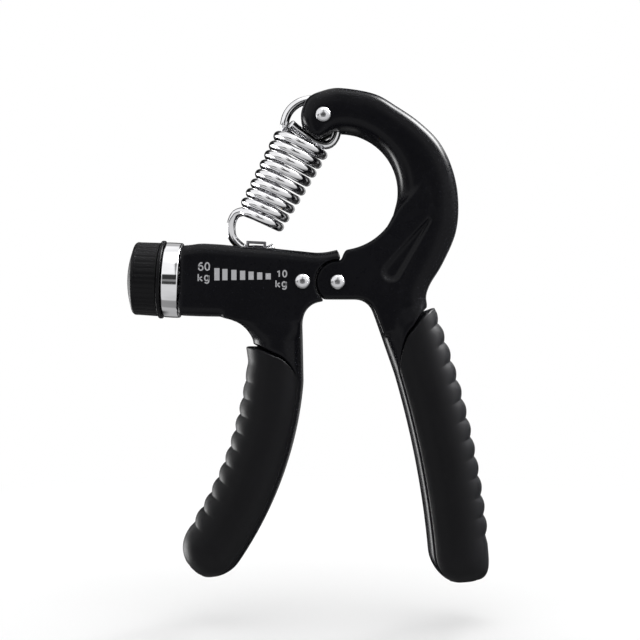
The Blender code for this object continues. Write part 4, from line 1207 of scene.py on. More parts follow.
@dataclass(frozen=True)
class Lever:
    """The housing with its nose and neck, and the core of the left handle."""

    start: float = 5.6  # Where the housing starts along the axis.
    half_depth: float = 11.0
    # Height of its top over the axis, by distance along it.
    tops: tuple[Point, ...] = (
        (5.6, 11.1), (8.2, 11.2), (10.0, 11.65), (12.0, 11.98), (18.4, 11.9), (24.7, 11.6),
        (34.3, 11.5), (39.1, 11.2), (43.9, 10.96), (48.6, 10.66), (51.8, 11.0), (53.4, 11.46),
        (55.4, 12.05), (56.6, 12.2),
    )
    # Height of its bottom, by distance along it.
    lows: tuple[Point, ...] = (
        (5.6, -11.4), (12.0, -11.35), (32.0, -10.7), (41.0, -4.4), (56.6, -4.2),
    )
    top_edge: float = 3.6  # Rounding of the long upper edges.
    low_edge: float = 3.0  # Rounding of the long lower edges.
    end_edge: float = 0.8  # Rounding of the end beside the ring.
    nose_top: Point = (9.55, 108.0)
    nose_mid: Point = (10.4, 106.0)
    nose_angle: float = 82  # Angle where the nose meets the recess.
    crotch: Point = (-1.75, 91.0)  # Corner between nose and neck.
    crotch_r: float = 6.6
    armpit: Point = (-17.3, 85.2)  # Corner between housing and neck.
    armpit_r: float = 10.2
    neck_top: float = 84.5  # Height where the neck's rings start.
    neck_right: Point = (-1.25, 78.5)  # Right edge of the neck at the grip.
    neck_left: Point = (-17.1, 78.5)  # Left edge of the neck at the grip.
    neck_square: float = 7.0  # How square the neck's top ring is.
    recess_r: float = 7.2  # Radius of the room for the arm's cheeks.
    # Half width and half height of the steel channel's room, and its start.
    tunnel: Spot = (4.3, 6.3, 11.2)
    tunnel_knee: float = 14.5  # How far before the pivot the channel narrows.
    eye_r: float = 5.2  # Radius of the channel's eye.
    slot: Spot = (2.9, 13.2, 41.2)  # Half width of the slider's slot, and its ends along the axis.
    bush_r: float = 4.9
    finer: float = 1.2  # Length beside the ring over which the housing's rings lie closer.
    smoothing: float = 1.2  # Half the reach of the running mean over tops and lows.
    corner_in: float = 1.0  # How far inside the housing's end its lower corner lies.
    neck_bevel: float = 2.2
    # Corners of the neck's outline inside the housing.
    neck_roof: tuple[Point, Point] = ((-26.0, 97.0), (4.0, 97.0))
    neck_tip: Point = (5.3, 91.3)  # Corner of that outline under the pivot.
    neck_rest: float = 0.3  # How far over the neck's top the armpit's last point lies.
    # Heights of the neck's rings, from the grip's rim to the neck's top.
    neck_shares: tuple[float, ...] = (1.06, 0.85, 0.6, 0.3, 0.0)
    neck_inset: float = 0.1  # How far the rings stay inside the neck's edges.
    tunnel_angle: float = -118  # Where the channel's lower side meets the eye, in degrees.
    tunnel_reach: float = 12.0  # How far the tunnel runs past the pivot.
    # Corners of the notch on the side away from the nose.
    notch_side: tuple[Point, ...] = ((20.0, 114.0), (20.0, 80.0), (5.9, 80.0), (5.9, 92.5))
    notch_top: float = 114.0  # Height of the notch over the housing.
    nose_lean: float = 0.4  # How far the notch leans away over the nose.
    slot_top: float = 20.0  # Height over the axis up to which the slider's slot is cut.
    bore_ends: Point = (-4.0, 12.0)  # Where the front bore starts and ends along the axis.
    cut_half: float = 20.0  # Half the depth of the cutters of recess and notch.

    def housing(self) -> Array:
        """Computes rings of the housing along the axis: boxes with four rounded corners.

        Top and bottom follow their measured heights, smoothed by a running mean. The end beside
        the ring falls away by a quarter circle on all sides.

        Returns:
            Array of rings.
        """
        first = self.start + np.linspace(0, self.finer, 7)[:-1]
        rest = np.linspace(self.start + self.finer, self.tops[-1][0], 110)
        along = np.concatenate((first, rest))
        smooth = np.linspace(-self.smoothing, self.smoothing, 9)[:, None]
        top = np.interp(along + smooth, *np.array(self.tops).T).mean(axis=0)
        low = np.interp(along + smooth, *np.array(self.lows).T).mean(axis=0)
        drop = edge_drop(along - self.start, self.end_edge)
        turn = np.linspace(0, pi / 2, 11)[None]
        parts = []
        rounds = (self.top_edge, self.top_edge, self.low_edge, self.low_edge)
        for corner, (side, radius) in enumerate(zip((1, -1, -1, 1), rounds)):
            angle = turn + corner * pi / 2
            level = (top - drop - radius) if corner < 2 else (low + drop + radius)
            deep = side * (self.half_depth - drop - radius)
            up = level[:, None] + radius * np.sin(angle)
            depth = deep[:, None] + radius * np.cos(angle)
            x, z = DATUM.on_axis(along[:, None], up)
            parts.append(np.stack((x, depth, z), axis=-1))
        return np.concatenate(parts, axis=1)

    def under(self) -> Point:
        """Returns the housing's lower corner beside the ring."""
        return DATUM.on_axis(self.start + self.corner_in, self.lows[0][1])

    def neck_outline(self) -> list[Point]:
        """Returns the outline of the neck's upper part with its crotch and armpit arcs."""
        points = [*self.neck_roof, self.neck_tip]
        points += fillet(self.neck_tip, self.crotch, self.neck_right, self.crotch_r)
        right, left = self.neck_edges(self.neck_top)
        points += [(right, self.neck_top), (left, self.neck_top)]
        return points + [p for p in self.armpit_arc() if p[1] > self.neck_top + self.neck_rest]

    def armpit_arc(self) -> list[Point]:
        """Returns the rounded corner between the housing's bottom and the neck."""
        return fillet(self.neck_left, self.armpit, self.under(), self.armpit_r, 18)

    def neck_edges(self, height: float) -> Point:
        """Returns the X positions of the neck's right and left edge at a height.

        Args:
            height: The height, as Z.

        Returns:
            Right and left X.
        """
        low = self.neck_right[1]
        share = (height - low) / (self.crotch[1] - low)
        curve = np.array(sorted((z, x) for x, z in self.armpit_arc()))
        left = float(np.interp(height, curve[:, 0], curve[:, 1]))
        return (self.neck_right[0] + (self.crotch[0] - self.neck_right[0]) * share, left)

    def neck(self) -> Array:
        """Computes rings from the neck's squarish top down to the grip, then the core's rings.

        Returns:
            An array of rings.
        """
        angle = LEFT.ring_angles()[None]
        across = np.array((-1.0, 0.0, 0.0))[None, None]
        deep = np.full((1, 1), LEFT.half_depth)
        rings = []
        for share in self.neck_shares:
            height = self.neck_right[1] + (self.neck_top - self.neck_right[1]) * share
            right, left = self.neck_edges(height)
            square = LEFT.roundness + (self.neck_square - LEFT.roundness) * min(share, 1.0)
            centre = flat(((left + right) / 2, height))[None, None]
            half = np.full((1, 1), (right - left) / 2 - self.neck_inset)
            rings.append(section(centre, across, half, deep, square, angle))
        return np.concatenate((*rings, LEFT.core()))

    def tunnel_outline(self) -> list[Point]:
        """Returns the room for the steel channel, which runs on past the pivot."""
        _, tall, first = self.tunnel
        x, z = DATUM.pivot
        knee = DATUM.along_axis(x) - self.tunnel_knee
        low = polar(DATUM.pivot, self.eye_r, self.tunnel_angle)
        right, high = x + self.tunnel_reach, z + self.eye_r
        points = [DATUM.on_axis(first, tall), DATUM.on_axis(first, -tall)]
        points += [DATUM.on_axis(knee, -tall), low, (right, low[1]), (right, high), (x, high)]
        return points + [DATUM.on_axis(knee, tall)]

    def cutters(self) -> list[Piece]:
        """Makes the cutters of recess, notch, tunnel, slot, front bore and rivet hole.

        Returns:
            The cutters.
        """
        wide = self.cut_half
        base = polar(DATUM.pivot, self.recess_r, self.nose_angle)
        above = (self.nose_top[0] + self.nose_lean, self.notch_top)
        notch = [base, self.nose_mid, self.nose_top, above, *self.notch_side, DATUM.pivot]
        half, left, right = self.slot
        slot = [DATUM.on_axis(left), DATUM.on_axis(right)]
        slot += [DATUM.on_axis(right, self.slot_top), DATUM.on_axis(left, self.slot_top)]
        start, end = self.bore_ends
        return [
            prism("recess", arc(DATUM.pivot, self.recess_r, 0, 356, 89), -wide, wide),
            prism("notch", notch, -wide, wide),
            prism("tunnel", self.tunnel_outline(), -self.tunnel[0], self.tunnel[0]),
            prism("slot", slot, -half, half),
            axis_rod("bore", DATUM.on_axis(start), self.bush_r, 0.0, end - start, 64),
            pin_hole(DATUM.frame_rivet),
        ]

    def build(self) -> None:
        """Builds the moulding and hangs it on the lever body."""
        body = skin("lever_moulding", self.housing())
        half = self.half_depth
        sharp = at_height(self.neck_top)
        neck = prism("neck", self.neck_outline(), -half, half, self.neck_bevel, sharp)
        for form in (neck, skin("core", self.neck())):
            boolean(body, form, "UNION")
        melt(body, FILLET_ROUNDS)
        for cutter in self.cutters():
            boolean(body, cutter, "DIFFERENCE", dense=True)
        melt(body, EDGE_ROUNDS)
        seat(body, MOULDED_PLASTIC, "lever", ["lever_body"])


@dataclass(frozen=True)
class Grips:
    """The two rubber grips."""

    # Handle, body and node of each grip.
    rows: tuple[tuple[Handle, str, str], ...] = (
        (RIGHT, "arm", "arm_grip"),
        (LEFT, "lever", "lever_grip"),
    )

    def build(self) -> None:
        """Builds both grips."""
        for handle, body, node in self.rows:
            handle.build_grip(body, node)


@dataclass(frozen=True)
class Spring:
    """The extension spring as one round wire."""

    wire_r: float = 1.45
    top: Point = (-1.77, 142.6)  # Middle of the coil's top turn.
    tilt: float = 28.6  # Degrees by which the coil leans.
    turns: float = 8.4
    pitch: float = 3.41
    top_r: float = 7.95
    bottom_r: float = 6.65
    loop_centre: Point = (1.3, 148.13)
    loop_r: float = 8.63
    # Points from the cut end into the loop.
    loop_end: tuple[Spot, ...] = (
        (-5.1, -2.8, 148.4), (-3.2, -1.6, 147.0), (-0.8, -0.3, 145.5), (1.6, 0.0, 143.95),
        (3.9, 0.0, 142.65), (6.15, 0.0, 142.1), (8.0, 0.0, 142.9),
    )
    # Points between loop and coil.
    loop_to_coil: tuple[Spot, ...] = ((-7.2, 0.7, 147.6), (-6.9, 2.7, 147.2))
    # Points between coil and hook.
    coil_to_hook: tuple[Spot, ...] = (
        (-20.7, -3.5, 120.1), (-22.9, -2.5, 119.4), (-24.3, -1.5, 117.1), (-24.6, -0.7, 114.2),
        (-23.8, -0.1, 111.3),
    )
    hook_half: float = 3.7  # Half the length of the hook's straight part.
    sides: int = 20
    per_turn: int = 20
    parts: int = 3  # Steps between two points.
    lead: float = 0.3  # Share of a turn that the coil starts before its top.
    loop_sweep: Point = (-24, 176)  # Angles of the loop's start and end, in degrees.
    hook_run: Point = (2.0, 0.9)  # How far the hook's end runs on, and how far it rises.
    chamfer: float = 0.25  # Length of the chamfer at both ends of the wire.
    chamfer_r: float = 0.78  # Radius that the chamfer leaves, as a share of the wire's.
    still_top: float = 1.5  # Length over the coil's top that doesn't stretch yet.
    still_turns: float = 0.3  # Turns at the coil's bottom that don't stretch.

    @property
    def down(self) -> Array:
        """Unit vector down the coil's axis."""
        return np.array((-sin(radians(self.tilt)), 0.0, -cos(radians(self.tilt))))

    def coil(self) -> Array:
        """Computes the coil's centreline.

        The coil leans back by its tilt. Its radius falls evenly from top to bottom, and each
        turn goes down by the pitch, in front from right to left.

        Returns:
            Array of points.
        """
        right = np.array((-self.down[2], 0.0, self.down[0]))
        first = -int(self.lead * self.per_turn)
        turn = np.arange(first, int(self.turns * self.per_turn) + 1) / self.per_turn
        radius = self.top_r + (self.bottom_r - self.top_r) * turn / self.turns
        angle = -2 * pi * turn
        points = flat(self.top) + np.outer(turn * self.pitch, self.down)
        points += np.outer(radius * np.cos(angle), right)
        points[:, 1] += radius * np.sin(angle)
        return points

    def path(self) -> Array:
        """Returns the wire's centreline from the cut end over loop and coil to the hook."""
        eye = DATUM.along_axis(DATUM.slider_x)
        loop = [flat(p) for p in arc(self.loop_centre, self.loop_r, *self.loop_sweep, 12)]
        on, rise = self.hook_run
        half, up = self.hook_half, DATUM.hook_up
        spots = ((-half, up), (0, up), (half, up), (half + on, up + rise))
        hook = [flat(DATUM.on_axis(eye + along, high)) for along, high in spots]
        knots = (self.loop_end, loop, self.loop_to_coil, self.coil(), self.coil_to_hook, hook)
        return smooth_curve(np.concatenate([np.array(k) for k in knots]), self.parts)

    def tube(self) -> Array:
        """Computes rings round the centreline.

        Each ring's side is square to the path and to a fixed slanting direction, which the path
        never follows: half way between the coil's axis and the depth.

        Returns:
            Array of rings, the first and last drawn in as small chamfers.
        """
        path = self.path()
        way = np.gradient(path, axis=0)
        way /= np.linalg.norm(way, axis=1)[:, None]
        side = np.cross(way, self.down + np.array((0.0, 1.0, 0.0)))
        side /= np.linalg.norm(side, axis=1)[:, None]
        other = np.cross(way, side)
        angle = np.linspace(0, 2 * pi, self.sides, endpoint=False)[None, :, None]
        round_way = np.cos(angle) * side[:, None] + np.sin(angle) * other[:, None]
        rings = path[:, None] + self.wire_r * round_way
        first = path[0] - way[0] * self.chamfer + (rings[0] - path[0]) * self.chamfer_r
        last = path[-1] + way[-1] * self.chamfer + (rings[-1] - path[-1]) * self.chamfer_r
        return np.concatenate((first[None], rings, last[None]))

    def build(self) -> None:
        """Builds the wire, which rides no body, and bakes its place into its mesh."""
        wire = skin("extension_spring", self.tube())
        seat(wire, SPRING_CHROME, None, ["spring"], crease=50)
        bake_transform(wire)


@dataclass(frozen=True)
class ScrewTrain:
    """Ring, flange and knob on the screw's axis, and the slider's bridge."""

    ring_r: float = 12.2
    ring_width: float = 5.3
    ring_wall: float = 1.6  # Thickness of its wall and of its left face.
    bush_room: float = 5.2  # Radius of the ring's bore round the bush.
    flange_r: float = 12.65
    flange_thickness: float = 1.2
    knob_r: float = 11.95
    knob_length: float = 8.3  # Length of its side.
    dome: float = 1.95
    rim_r: float = 1.3  # Rounding of its rim.
    ribs: int = 36
    rib_depth: float = 0.12
    socket_r: float = 4.6  # Radius of the cap.
    socket_depth: float = 5.2  # Depth of its room.
    bridge: Point = (3.1, 2.5)  # Half length and half width of the bridge.
    bridge_up: Point = (4.8, 13.8)  # Heights of its lower and upper end over the axis.
    # Half length, lower and upper end of the opening under the bridge's top sheet.
    window: Spot = (2.45, 11.2, 13.2)
    hook_play: float = 3.6  # How far the hook's hole reaches down.
    wire_room: float = 1.75  # Radius of the hook's hole.
    steps: int = 144  # Points round the turned pieces.
    ring_crown: float = 0.05  # How much higher the ring's middle stands than its sides.
    ring_rim: float = 0.35  # Width of the ring's turned rims.
    # How far a rim's middle lies under the ring's side, and in from its end.
    ring_step: Point = (0.15, 0.12)
    flange_round: float = 0.4
    draft: float = 0.15  # How much the knob tapers towards its face.
    rim_turn: float = 0.1  # Radians round the rim where its rounding starts.
    rim_inset: float = 0.1  # How far that rounding lies inside the side.
    # Share of the rim's radius where the face starts, and its end's gap to the cap.
    face_span: Point = (0.97, 0.3)
    rib_power: float = 0.7  # Power of the ribs' cosine, below 1 for broad ribs.
    rib_steps: int = 720  # Points round the ribbed knob.
    rib_ends: Point = (0.08, 0.12)  # Shares of the side over which the ribs fade at its two ends.
    rib_left: float = 0.4  # Depth of the ribs that is left at the face's end.
    lip: float = 0.35  # Depth of the lip round the cap.
    # Radii of the cap's steps.
    cap_radii: tuple[float, ...] = (4.6, 4.4, 3.9, 3.5, 3.3, 2.4, 1.2, 0.01)
    # Radius of the cap's dish, how far it lies in, and how far its rim stands out.
    cap_dish: Spot = (3.4, 0.2, 0.05)
    # Thickness of the cap, and how far it lies behind the knob's face.
    cap_wall: Point = (1.2, 0.1)
    bridge_edge: float = 0.35
    eye_half: float = 12.0  # Half the length of the cutters of the hook's hole.

    def turned(
        self,
        name: str,
        profile: Array,
        finish: Finish,
        body: str,
        node: str,
        crease: float = 40,
        wobble: Array | None = None,
    ) -> None:
        """Builds a turned piece on the axis from a closed profile.

        Args:
            name: Name of the piece.
            profile: Array of (radius, distance along the axis).
            finish: Its finish.
            body: Body that it rides.
            node: CAD node that it stands for.
            crease: Angle above which an edge stays sharp.
            wobble: Optional change of the radius, rows by steps.
        """
        steps = self.steps if wobble is None else wobble.shape[1]
        rings = lathe_points(profile, steps, wobble)
        rings = place_along(rings, flat(DATUM.on_axis(0)), DATUM.way)
        i = np.arange(steps)
        last = (len(rings) - 1) * steps
        seam = np.stack((last + i, last + (i + 1) % steps, (i + 1) % steps, i), axis=-1)
        faces = grid_faces(len(rings), steps) + seam.tolist()
        made = mesh_object(name, rings.reshape(-1, 3), faces)
        outward(made.data)
        seat(made, finish, body, [node], crease)

    def build_ring(self) -> None:
        """Builds the chrome ring with softly turned rims and a shallow crown."""
        t = np.linspace(0, 1, 25)
        rim, (under, inset) = self.ring_rim, self.ring_step
        crown = self.ring_r - self.ring_crown * (2 * t - 1) ** 2
        outer = np.stack((crown, rim + (self.ring_width - 2 * rim) * t), axis=-1)
        high = self.ring_width
        bore, wall, room = self.ring_r - self.ring_wall, self.ring_wall, self.bush_room
        first = [(self.ring_r - rim, 0.0), (self.ring_r - under, inset)]
        last = [(self.ring_r - under, high - inset), (self.ring_r - rim, high), (bore, high)]
        last += [(bore, wall), (room, wall), (room, 0.0)]
        profile = np.concatenate((first, outer, last))
        self.turned("chrome_collar", profile, CHROME, "lever", "chrome_ring", crease=50)

    def build_flange(self) -> None:
        """Builds the thin flange between knob and ring."""
        face = -DATUM.gap
        back = face - self.flange_thickness
        hole = DATUM.screw_r + DATUM.gap
        points = [(hole, face), (self.flange_r, face), (self.flange_r, back), (hole, back)]
        profile = round_profile(points, self.flange_round, 6)
        self.turned("knob_rim_flange", profile, KNOB_PLASTIC, "knob", "knob_flange")

    def crown(self, radius: Array) -> Array:
        """Returns how far the knob's face stands out at a radius, which falls by its square."""
        edge = self.knob_r - self.rim_r
        return self.dome * (1 - (radius / edge) ** 2)

    def build_knob(self) -> None:
        """Builds the knob: fine ribs round its side and a crowned face with its cap.

        Each rib is a power of a cosine. The ribs fade out at both ends of the side.
        """
        face = -self.flange_thickness - 2 * DATUM.gap
        left = face - self.knob_length
        edge = self.knob_r - self.rim_r
        hole = DATUM.screw_r + DATUM.gap
        room = self.socket_r + DATUM.gap
        floor = left + self.socket_depth
        t = np.linspace(0, 1, 22)
        along = face + (left + self.rim_r - face) * t
        side = np.stack((self.knob_r - self.draft * t, along), axis=-1)
        turn = np.linspace(self.rim_turn, pi / 2, 12)
        across = edge - self.rim_inset + self.rim_r * np.cos(turn)
        rim = np.stack((across, left + self.rim_r * (1 - np.sin(turn))), axis=-1)
        share, gap = self.face_span
        radius = np.linspace(edge * share, room + gap, 18)
        front = np.stack((radius, left - self.crown(radius)), axis=-1)
        lip = [(room, front[-1, 1] + self.lip), (room, floor), (hole, floor)]
        profile = np.concatenate(([(hole, face)], side, rim, front, lip))
        angle = np.linspace(0, 2 * pi, self.rib_steps, endpoint=False)
        wave = np.abs(np.cos(angle * self.ribs / 2)) ** self.rib_power - 1
        first, last = self.rib_ends
        depth = np.zeros(len(profile))
        ends = np.minimum(t / first, (1 - t) / last + self.rib_left)
        depth[1 : 1 + len(side)] = np.clip(ends, 0, 1)
        wobble = self.rib_depth * depth[:, None] * wave[None]
        self.turned("knob_shell", profile, KNOB_PLASTIC, "knob", "knob", 60, wobble)
        self.build_cap(left)

    def build_cap(self, left: float) -> None:
        """Builds the knob's cap, which has a shallow dish inside a raised edge.

        Args:
            left: Where the knob's side ends along the axis.
        """
        radius = np.array(self.cap_radii)
        dish, inside, outside = self.cap_dish
        wall, behind = self.cap_wall
        sunk = np.where(radius < dish, inside, -outside)
        top = np.stack((radius, left - self.crown(radius) + sunk + behind), axis=-1)
        base = left - self.crown(np.array(self.socket_r)) + wall
        points = np.concatenate(([(radius[-1], base), (self.socket_r, base)], top))
        self.turned("knob_end_cap", points, KNOB_PLASTIC, "knob", "knob_cap", crease=35)

    def build_bridge(self) -> None:
        """Builds the slider's folded steel bridge with the hole for the hook."""
        middle = DATUM.along_axis(DATUM.slider_x)
        half, wide = self.bridge
        outline = DATUM.box(middle, half, *self.bridge_up)
        body = prism("slider_saddle", outline, -wide, wide, self.bridge_edge, segments=3)
        base = DATUM.on_axis(middle, DATUM.hook_up)
        eye = axis_rod("eye", base, self.wire_room, -self.eye_half, self.eye_half, 32)
        reach = wide + OVERCUT
        window = prism("window", DATUM.box(middle, *self.window), -reach, reach)
        low = DATUM.hook_up - self.hook_play
        play = DATUM.box(middle, self.eye_half, low, DATUM.hook_up)
        play = prism("play", play, -self.wire_room, self.wire_room)
        for cutter in (eye, window, play):
            boolean(body, cutter, "DIFFERENCE")
        seat(body, ZINC, "slider", ["slider_bridge"], crease=30)

    def build(self) -> None:
        """Builds all pieces."""
        self.build_ring()
        self.build_flange()
        self.build_knob()
        self.build_bridge()


@dataclass(frozen=True)
class Rivets:
    """The three rivets, with formed heads on both sides."""

    head_r: float = 2.35
    head_height: float = 1.2
    steep: float = 50  # Slope of the dome at its rim, in degrees.
    rim: float = 0.12
    tuck: float = 0.6  # Radians by which that rounding turns under the head.
    under: float = 0.1  # How far the flat under a head stays inside its rim.
    pole: float = 0.003  # Radius at which a dome is closed.
    # Name, place, half the length under the heads, body and node of each rivet.
    rows: tuple[tuple[str, Point, float, str, str], ...] = (
        ("pivot_rivet_heads", DATUM.pivot, 10.02, "arm", "pivot_rivet"),
        ("tip_rivet_heads", DATUM.tip_pin, 9.9, "arm", "tip_rivet"),
        ("frame_rivet_heads", DATUM.frame_rivet, 11.3, "lever", "frame_rivet"),
    )

    def profile(self, seat_y: float) -> Array:
        """Computes a rivet's profile: a dome, its round rim, the shank, and the mirror.

        The dome falls with the third power of the radius, so its middle is nearly flat.

        Args:
            seat_y: Half the length under the heads.

        Returns:
            Array of (radius, distance).
        """
        slope = radians(self.steep)
        reach = self.head_r - self.rim * (1 - sin(slope))
        radius = np.linspace(self.pole, reach, 20)
        fall = np.tan(slope) * radius**3 / (3 * reach**2)
        dome = np.stack((radius, seat_y + self.head_height - fall), axis=-1)
        start = radians(90 - self.steep)
        turn = np.linspace(start, -self.tuck, 6)[1:]
        low = dome[-1, 1] - self.rim * sin(start)
        across = self.head_r - self.rim + self.rim * np.cos(turn)
        edge = np.stack((across, low + self.rim * np.sin(turn)), axis=-1)
        under = [(self.head_r - self.under, seat_y), (DATUM.pin_r, seat_y)]
        half = np.concatenate((dome, edge, under))
        return np.concatenate((half, half[::-1] * (1, -1)))

    def build(self) -> None:
        """Builds the three rivets."""
        for name, spot, seat_y, body, node in self.rows:
            rings = lathe_points(self.profile(seat_y), 64)
            rings = place_along(rings, flat(spot), (0.0, 1.0, 0.0))
            seat(skin(name, rings), NICKEL, body, [node], crease=45)


@dataclass(frozen=True)
class View:
    """The photograph's viewpoint."""

    place: Spot = (4.2275, -370.0, 85.2)  # Place of the lens, in millimetres.
    scale: float = 0.3252  # Millimetres in a pixel at the object's middle plane.
    frame: int = 640  # Pixels across the photograph.
    sensor: float = 36.0
    clip: Point = (0.01, 50.0)  # Nearest and furthest distance that the camera sees, in metres.

    def point(self, x: float, y: float, depth: float) -> Point:
        """Returns X and Z of the point at a depth along Y that a pixel shows.

        Args:
            x: Pixels from the left.
            y: Pixels from the top.
            depth: Depth along Y.

        Returns:
            X and Z in millimetres.
        """
        size = self.scale * (depth - self.place[1]) / -self.place[1]
        half = self.frame / 2
        return (self.place[0] + (x - half) * size, self.place[2] + (half - y) * size)

    def build(self) -> None:
        """Builds the camera."""
        camera = bpy.data.cameras.new("camera")
        camera.sensor_width = self.sensor
        camera.lens = self.sensor * -self.place[1] / (self.scale * self.frame)
        camera.clip_start, camera.clip_end = self.clip
        made = new_object("camera", camera)
        made.location = Vector(self.place) * MM
        made.rotation_euler = (pi / 2, 0.0, 0.0)
        bpy.context.scene.camera = made


VIEW = View()


def oval(middle: Point, reach: Point, start: float, end: float, count: int = 20) -> list[Point]:
    """Returns points on an ellipse from one angle to another, in degrees."""
    angles = [radians(start + (end - start) * i / count) for i in range(count + 1)]
    return [(middle[0] + reach[0] * cos(t), middle[1] + reach[1] * sin(t)) for t in angles]


@dataclass(frozen=True)
class ScalePrint:
    """The printed load scale: two numbers with their unit, and bars that get shorter.

    Places are pixels of the photograph.
    """

    depth: float = -11.06  # Depth of the print's face along Y.
    thickness: float = 0.05  # Thickness of the print, drawn coarser than real ink.
    stroke: float = 1.3
    # Left and right side of each bar.
    bars: tuple[Point, ...] = (
        (214.3, 219.5), (222.3, 227.5), (231.3, 236.5), (240.0, 245.2), (248.5, 253.7),
        (257.1, 262.3), (265.6, 270.8),
    )
    first_bar: Point = (268.1, 280.4)  # Top and bottom of the first bar.
    last_bar: Point = (273.3, 279.4)  # Top and bottom of the last bar.
    # Text, left, top, right and bottom of each word.
    words: tuple[tuple[str, float, float, float, float], ...] = (
        ("60", 197.9, 262.1, 210.1, 270.8),
        ("kg", 197.6, 273.4, 209.6, 283.8),
        ("10", 276.3, 269.9, 287.3, 277.5),
        ("kg", 275.4, 279.8, 287.0, 289.8),
    )
    sign_gap: float = 0.55  # Gap between two signs, in widths of a stroke.

    def letter(self, sign: str) -> list[list[Point]]:
        """Returns a sign's strokes in a box from (0, 0) to (1, 1).

        Args:
            sign: One of 6, 0, 1, k and g.

        Returns:
            Lists of points.
        """
        strokes = {
            "6": [
                [(0.86, 0.93), (0.68, 0.99), (0.44, 0.97), (0.2, 0.84), (0.06, 0.62), (0.03, 0.34)],
                oval((0.5, 0.31), (0.47, 0.31), 0, 360, 24),
            ],
            "0": [oval((0.5, 0.5), (0.48, 0.5), 90, 450, 28)],
            "1": [[(0.1, 0.78), (0.36, 0.84), (0.58, 1.0), (0.6, 0.5), (0.6, 0.0)]],
            "k": [
                [(0.0, 0.24), (0.0, 1.0)], [(0.85, 0.72), (0.06, 0.46)],
                [(0.25, 0.5), (0.92, 0.24)],
            ],
            "g": [
                oval((0.45, 0.56), (0.45, 0.28), 0, 360, 24),
                [(0.95, 0.84), (0.95, 0.26), *oval((0.48, 0.24), (0.47, 0.24), 0, -150, 14)],
            ],
        }
        return strokes[sign]

    def ribbon(self, stroke: list[Point], closed: bool) -> Piece:
        """Makes a flat ribbon along a stroke.

        Its sides lie half the stroke's width to the left and right of the line.

        Args:
            stroke: Points in pixels.
            closed: Whether the stroke ends where it starts.

        Returns:
            The object.
        """
        line = np.array(stroke)
        way = np.gradient(line, axis=0)
        if closed:
            way[0] = way[-1] = line[1] - line[-2]
        way /= np.linalg.norm(way, axis=1)[:, None]
        side = np.stack((way[:, 1], -way[:, 0]), axis=-1) * self.stroke / 2
        edges = np.stack((line + side, line - side), axis=1).reshape(-1, 2)
        i = np.arange(len(line) - 1)[:, None] * 2
        return self.sheet("ribbon", edges, (i + np.array((0, 1, 3, 2))).tolist())

    def sheet(self, name: str, spots: Sequence[Point], faces: list[list[int]]) -> Piece:
        """Makes a flat object at the print's depth from points in pixels."""
        points = np.array([flat(VIEW.point(x, y, self.depth), self.depth) for x, y in spots])
        return mesh_object(name, points, faces)

    def word(self, text: str, left: float, top: float, right: float, bottom: float) -> list[Piece]:
        """Makes the ribbons of a word that fills a box.

        Args:
            text: The word.
            left: Left side in pixels.
            top: Upper side.
            right: Right side.
            bottom: Lower side.

        Returns:
            The ribbons.
        """
        half = self.stroke / 2
        advance = (right - left + self.stroke * self.sign_gap) / len(text)
        wide = advance - self.stroke * (1 + self.sign_gap)
        high = bottom - top - self.stroke
        made = []
        for i, sign in enumerate(text):
            x = left + half + advance * i
            for stroke in self.letter(sign):
                spots = [(x + wide * a, bottom - half - high * b) for a, b in stroke]
                closed = hypot(*np.subtract(spots[0], spots[-1])) < NEAR
                made.append(self.ribbon(spots, closed))
        return made

    def bar(self, share: float, left: float, right: float) -> Piece:
        """Makes a bar whose height lies between the first and the last one's.

        Args:
            share: 0 for the first bar, 1 for the last.
            left: Its left X.
            right: Its right X.

        Returns:
            The bar.
        """
        top, bottom = (a + (b - a) * share for a, b in zip(self.first_bar, self.last_bar))
        corners = ((left, top), (right, top), (right, bottom), (left, bottom))
        return self.sheet("bar", corners, [[0, 1, 2, 3]])

    def build(self) -> None:
        """Builds the print as one thin sheet on the housing's front."""
        parts = [made for word in self.words for made in self.word(*word)]
        last = len(self.bars) - 1
        parts += [self.bar(i / last, *sides) for i, sides in enumerate(self.bars)]
        shape = bmesh.new()
        for part in parts:
            shape.from_mesh(part.data)
            bpy.data.objects.remove(part)
        carry_back(shape, shape.faces[:], self.thickness)
        seat(shape_object("load_scale_print", shape), SCALE_INK, "lever", crease=30)


@dataclass(frozen=True)
class HiddenParts:
    """The CAD pieces that are seen through gaps only, and keep their own mesh."""

    # Each finish with the nodes that have it.
    finishes: tuple[tuple[Finish, tuple[str, ...]], ...] = (
        (ZINC, ("channel", "lead_screw", "knob_screw")),
        (BRASS, ("pivot_sleeve", "front_bush", "end_bush", "slider_nut")),
        (DARK_STEEL, ("retaining_clip",)),
        (NYLON, ("pivot_washer_front", "pivot_washer_back")),
        (BLACK_NYLON, ("spring_bush",)),
    )

    def build(self) -> None:
        """Gives each of them its procedural material."""
        for finish, names in self.finishes:
            for name in names:
                node = frame["nodes"][name]
                node.data.materials.clear()
                node.data.materials.append(finish.build())
                log.info("%s: %s", name, finish.name)


@dataclass(frozen=True)
class Lamp:
    """A soft box."""

    name: str
    place: Spot
    target: Spot  # The point that it faces.
    size: Point  # Its two side lengths in millimetres.
    watts: float

    def build(self) -> None:
        """Builds the lamp."""
        light = bpy.data.lights.new(self.name, "AREA")
        light.shape = "RECTANGLE"
        light.size, light.size_y = (s * MM for s in self.size)
        light.energy = self.watts
        made = new_object(self.name, light)
        made.location = Vector(self.place) * MM
        way = (Vector(self.target) - Vector(self.place)).normalized()
        made.rotation_euler = way.to_track_quat("-Z", "Y").to_euler()
        made.visible_camera = False


class Measure(Enum):
    """What a course of levels runs along, for the direction that a mirror looks in."""

    HEIGHT = "degrees from straight ahead over the top to the back"
    SIDE = "degrees from straight ahead to the right and round"
    RIGHT = "the direction's X"
    BACK = "the direction's Y"
    SLANT = "the direction's Z without its sign"


